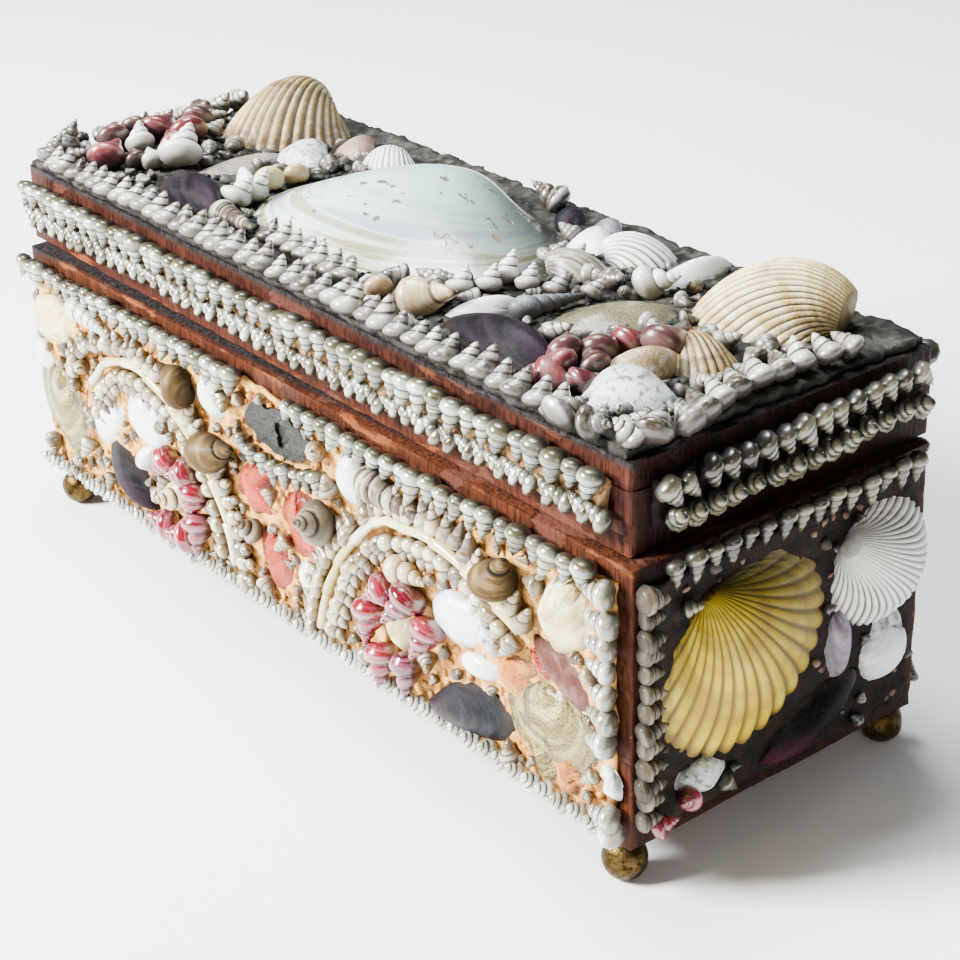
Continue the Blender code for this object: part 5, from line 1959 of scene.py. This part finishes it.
class Ground:
    """Everything already laid on the casket, for finding bare putty."""

    def __init__(self) -> None:
        """Gather the pieces in one tree."""
        verts, faces, self.putty = [], [], []
        for piece in bpy.context.scene.objects:
            if piece.type != "MESH" or piece.hide_render or piece.name == "floor":
                continue
            start = len(verts)
            verts.extend(vert.co.copy() for vert in piece.data.vertices)
            faces.extend([start + index for index in face.vertices] for face in piece.data.polygons)
            self.putty.extend([piece.name.endswith("_putty")] * len(piece.data.polygons))
        self.tree = BVHTree.FromPolygons(verts, faces)
        self.taken = []

    def bare(self, face: Face, across: float, up: float, radius: float) -> bool:
        """Say whether a spot shows nothing but putty.

        Args:
            face: Face of the casket.
            across: Millimetres across it.
            up: Millimetres up it.
            radius: Millimetres that must be free round the spot.

        Returns:
            True if the spot is free.
        """
        for other, there, high, reach in self.taken:
            if other is face and math.hypot(across - there, up - high) < radius + reach:
                return False
        out = face.matrix().to_3x3().col[2]
        for probe in range(PROBES):
            turn, reach = PROBE_TURN * probe, radius * PROBE_REACH if probe else 0.0
            spot = (across + reach * math.cos(turn), up + reach * math.sin(turn))
            start = face.seat(*spot, PROBE_HEIGHT).translation
            index = self.tree.ray_cast(start, -out)[2]
            if index is None or not self.putty[index]:
                return False
        return True


@dataclass(frozen=True)
class Fill:
    """Odd small shells and scraps, pressed in wherever the putty is still bare."""

    name: str
    face: Face
    area: tuple[float, float, float, float]
    kind: Kind
    finish: str
    slot: str
    girth: Spot
    tries: int
    slender: float
    lean: float
    sink: float

    def build(self, masters: dict[Kind, Mesh], finishes: Finishes,
              ground: Ground) -> None:
        """Fill the area by chance, largest first.

        Args:
            masters: Unit shells by their kind.
            finishes: Materials by their name.
            ground: All that is laid already.
        """
        cluster = Cluster(self.face)
        left, right, low, high = self.area
        count = 0
        for index in range(self.tries):
            girth = self.girth[1] + (self.girth[0] - self.girth[1]) * index / self.tries
            across, up = CHANCE.uniform(left, right), CHANCE.uniform(low, high)
            if not ground.bare(self.face, across, up, girth * CLEARANCE):
                continue
            apex, lean = CHANCE.uniform(0.0, 360.0), CHANCE.uniform(0.0, self.lean)
            size = (girth * self.slender, girth)
            cluster.add(masters[self.kind], across, up, apex, size, lean, sink=self.sink)
            ground.taken.append((self.face, across, up, girth * CLEARANCE))
            count += 1
        if count:
            cluster.finish(self.name, finishes[self.finish], self.slot)
        else:
            cluster.mesh.free()


def fills_for(face: Face, area: tuple[float, float, float, float], tries: tuple[int, int, int, int],
              finishes: tuple[str, str, str], putty: str) -> tuple[Fill, ...]:
    """Return the passes that fill one face, from small turbans down to crumbs of putty.

    Args:
        face: Face of the casket.
        area: Left, right, low and high, in millimetres.
        tries: Tries of each pass.
        finishes: Names for shells, flakes and crumbs.
        putty: Slot of the crumbs.

    Returns:
        The four passes.
    """
    name = face.name.lower()
    shell, flake, crumb = finishes
    passes = (
        ("odd_turbans", Kind.TOP, shell, "white_shell", (4.6, 7.2), 1.25, 45.0, 0.25),
        ("shell_flakes", Kind.FLAKE, flake, "white_shell", (3.2, 6.0), 1.1, 12.0, 0.02),
        ("seed_shells", Kind.BEAD, shell, "white_shell", (2.6, 4.2), 1.25, 40.0, 0.25),
        ("crumbs", Kind.CRUMB, crumb, putty, (1.3, 2.6), 1.3, 20.0, 0.1),
    )
    return tuple(Fill(f"{name}_{what}", face, area, kind, finish, slot, girth, count, slender, lean, sink)
                 for count, (what, kind, finish, slot, girth, slender, lean, sink) in zip(tries, passes))


FILLS = (
    *fills_for(F, (-147, 147, 5, 79), (420, 120, 1100, 2500), ("top_tan", "tan_flake", "putty"), "putty"),
    *fills_for(T, (-142, 144, -46, 36), (480, 500, 900, 3600), ("top_grey", "grey_flake", "dark_putty"),
               "dark_putty"),
    *fills_for(R, (-50, 50, 5, 78), (10, 24, 60, 90), ("top_painted_shade", "tan_flake", "crust"), "dark_putty"),
    *fills_for(L, (-50, 50, 5, 78), (300, 600, 500, 900), ("top_tan", "tan_flake", "cream_putty"),
               "dark_putty"),
    *fills_for(B, (-146, 146, 5, 78), (380, 900, 580, 1500), ("top_tan", "tan_flake", "putty"), "putty"),
)

TUSKS = (("front_left_tusk_band", F, LEFT_ARCH), ("front_right_tusk_band", F, RIGHT_ARCH))
TUSK_STEP = 2.0
TUSK_STEPS = 7
TUSK_HEIGHT = 2.6
TUSK_RADIUS = 1.9
TUSK_TAPER = 0.1


def build_tusks(finishes: Finishes) -> None:
    """Lay tusk shells end to end along both arches.

    Args:
        finishes: Materials by their name.
    """
    for name, face, path in TUSKS:
        mesh = bmesh.new()
        suture = mesh.verts.layers.float.new("suture")
        tint = mesh.verts.layers.float.new("tint")
        steps = smooth_path(list(path), TUSK_STEP)
        place = face.matrix()
        for start in range(0, len(steps) - 3, TUSK_STEPS):
            part = steps[start:start + TUSK_STEPS + 1]
            points = [place @ (Vector((across, up, face.bed + TUSK_HEIGHT)) * MM) for across, up, _ in part]
            radii = [(TUSK_RADIUS - TUSK_TAPER * index) * MM for index in range(len(part))]
            rod = sweep(points, radii)
            data = to_data(rod, "tusk")
            before = len(mesh.verts)
            mesh.from_mesh(data)
            bpy.data.meshes.remove(data)
            mesh.verts.ensure_lookup_table()
            shade = CHANCE.random()
            for vert in mesh.verts[before:]:
                vert[tint], vert[suture] = shade, 0.0
        make_piece(name, mesh, finishes["tusk"], "cream_shell")


@dataclass(frozen=True)
class Stage:
    """Pale floor, soft studio light from the front left, and the camera."""

    camera_at: Triple = (0.4797, -0.3581, 0.3468)
    forward: Triple = (-0.7026, 0.5508, -0.4505)
    right: Triple = (0.6266, 0.7789, -0.025)
    lens: float = 80.484

    def light(self, name: str, place: tuple, target: tuple, size: float, power: float, colour: str) -> None:
        """Hang a square soft box that faces a target.

        Args:
            name: Name of the lamp.
            place: Where it hangs.
            target: What it faces.
            size: Side of the box, in metres.
            power: Watts.
            colour: Hex colour.
        """
        data = bpy.data.lights.new(name, "AREA")
        data.shape, data.size, data.energy, data.color = "SQUARE", size, power, linear(colour)[:3]
        lamp = place_object(name, data)
        lamp.location = place
        lamp.rotation_euler = (Vector(target) - Vector(place)).to_track_quat("-Z", "Y").to_euler()

    def build(self) -> None:
        """Set the stage."""
        mesh = bmesh.new()
        bmesh.ops.create_grid(mesh, x_segments=2, y_segments=2, size=6.0)
        data = to_data(mesh, "floor")
        floor = place_object("floor", data)
        paint = Paint("floor_paper")
        tone = paint.mix(paint.grain(300.0, 2.0), "#ffffff", "#fcfcfc")
        data.materials.append(paint.finish(tone, 0.9, paint.bump(paint.grain(2.0), 0.02)))
        world = bpy.data.worlds.new("studio")
        bpy.context.scene.world = world
        world.use_nodes = True
        sky = world.node_tree.nodes["Background"]
        sky.inputs["Color"].default_value = linear("#f4f6fa")
        sky.inputs["Strength"].default_value = 0.2
        self.light("key_box", (-0.65, -1.2, 0.95), (0.0, 0.0, 0.06), 0.55, 175.0, "#fffdf8")
        self.light("top_box", (-0.3, 0.1, 1.3), (0.0, 0.0, 0.1), 0.5, 30.0, "#f3fbff")
        self.light("end_box", (1.2, -0.5, 0.5), (0.15, 0.0, 0.05), 0.5, 2.6, "#fff4e6")
        data = bpy.data.cameras.new("camera")
        data.lens, data.sensor_width = self.lens, 36.0
        camera = place_object("camera", data)
        back = -Vector(self.forward).normalized()
        right = (Vector(self.right) - back * Vector(self.right).dot(back)).normalized()
        turn = Matrix((right, back.cross(right), back)).transposed()
        camera.matrix_world = Matrix.Translation(Vector(self.camera_at)) @ turn.to_4x4()
        bpy.context.scene.camera = camera


def main() -> None:
    """Build the casket in order."""
    logging.basicConfig(level=logging.INFO, format="%(message)s")
    Stage().build()
    finishes = build_finishes()
    for wood in BOXES:
        wood.build(finishes)
    BallFeet().build(finishes)
    for bed in BEDS:
        bed.build(finishes)
    LockPlate().build(finishes)
    for valve in VALVES:
        valve.build(finishes)
    masters = {kind: kind.value.shape() for kind in Kind}
    for row in ROWS:
        row.build(masters, finishes)
    for group in GROUPS:
        group.build(masters, finishes)
    build_tusks(finishes)
    bpy.context.view_layer.update()
    ground = Ground()
    for fill in FILLS:
        fill.build(masters, finishes, ground)


if __name__ == "__main__":
    main()
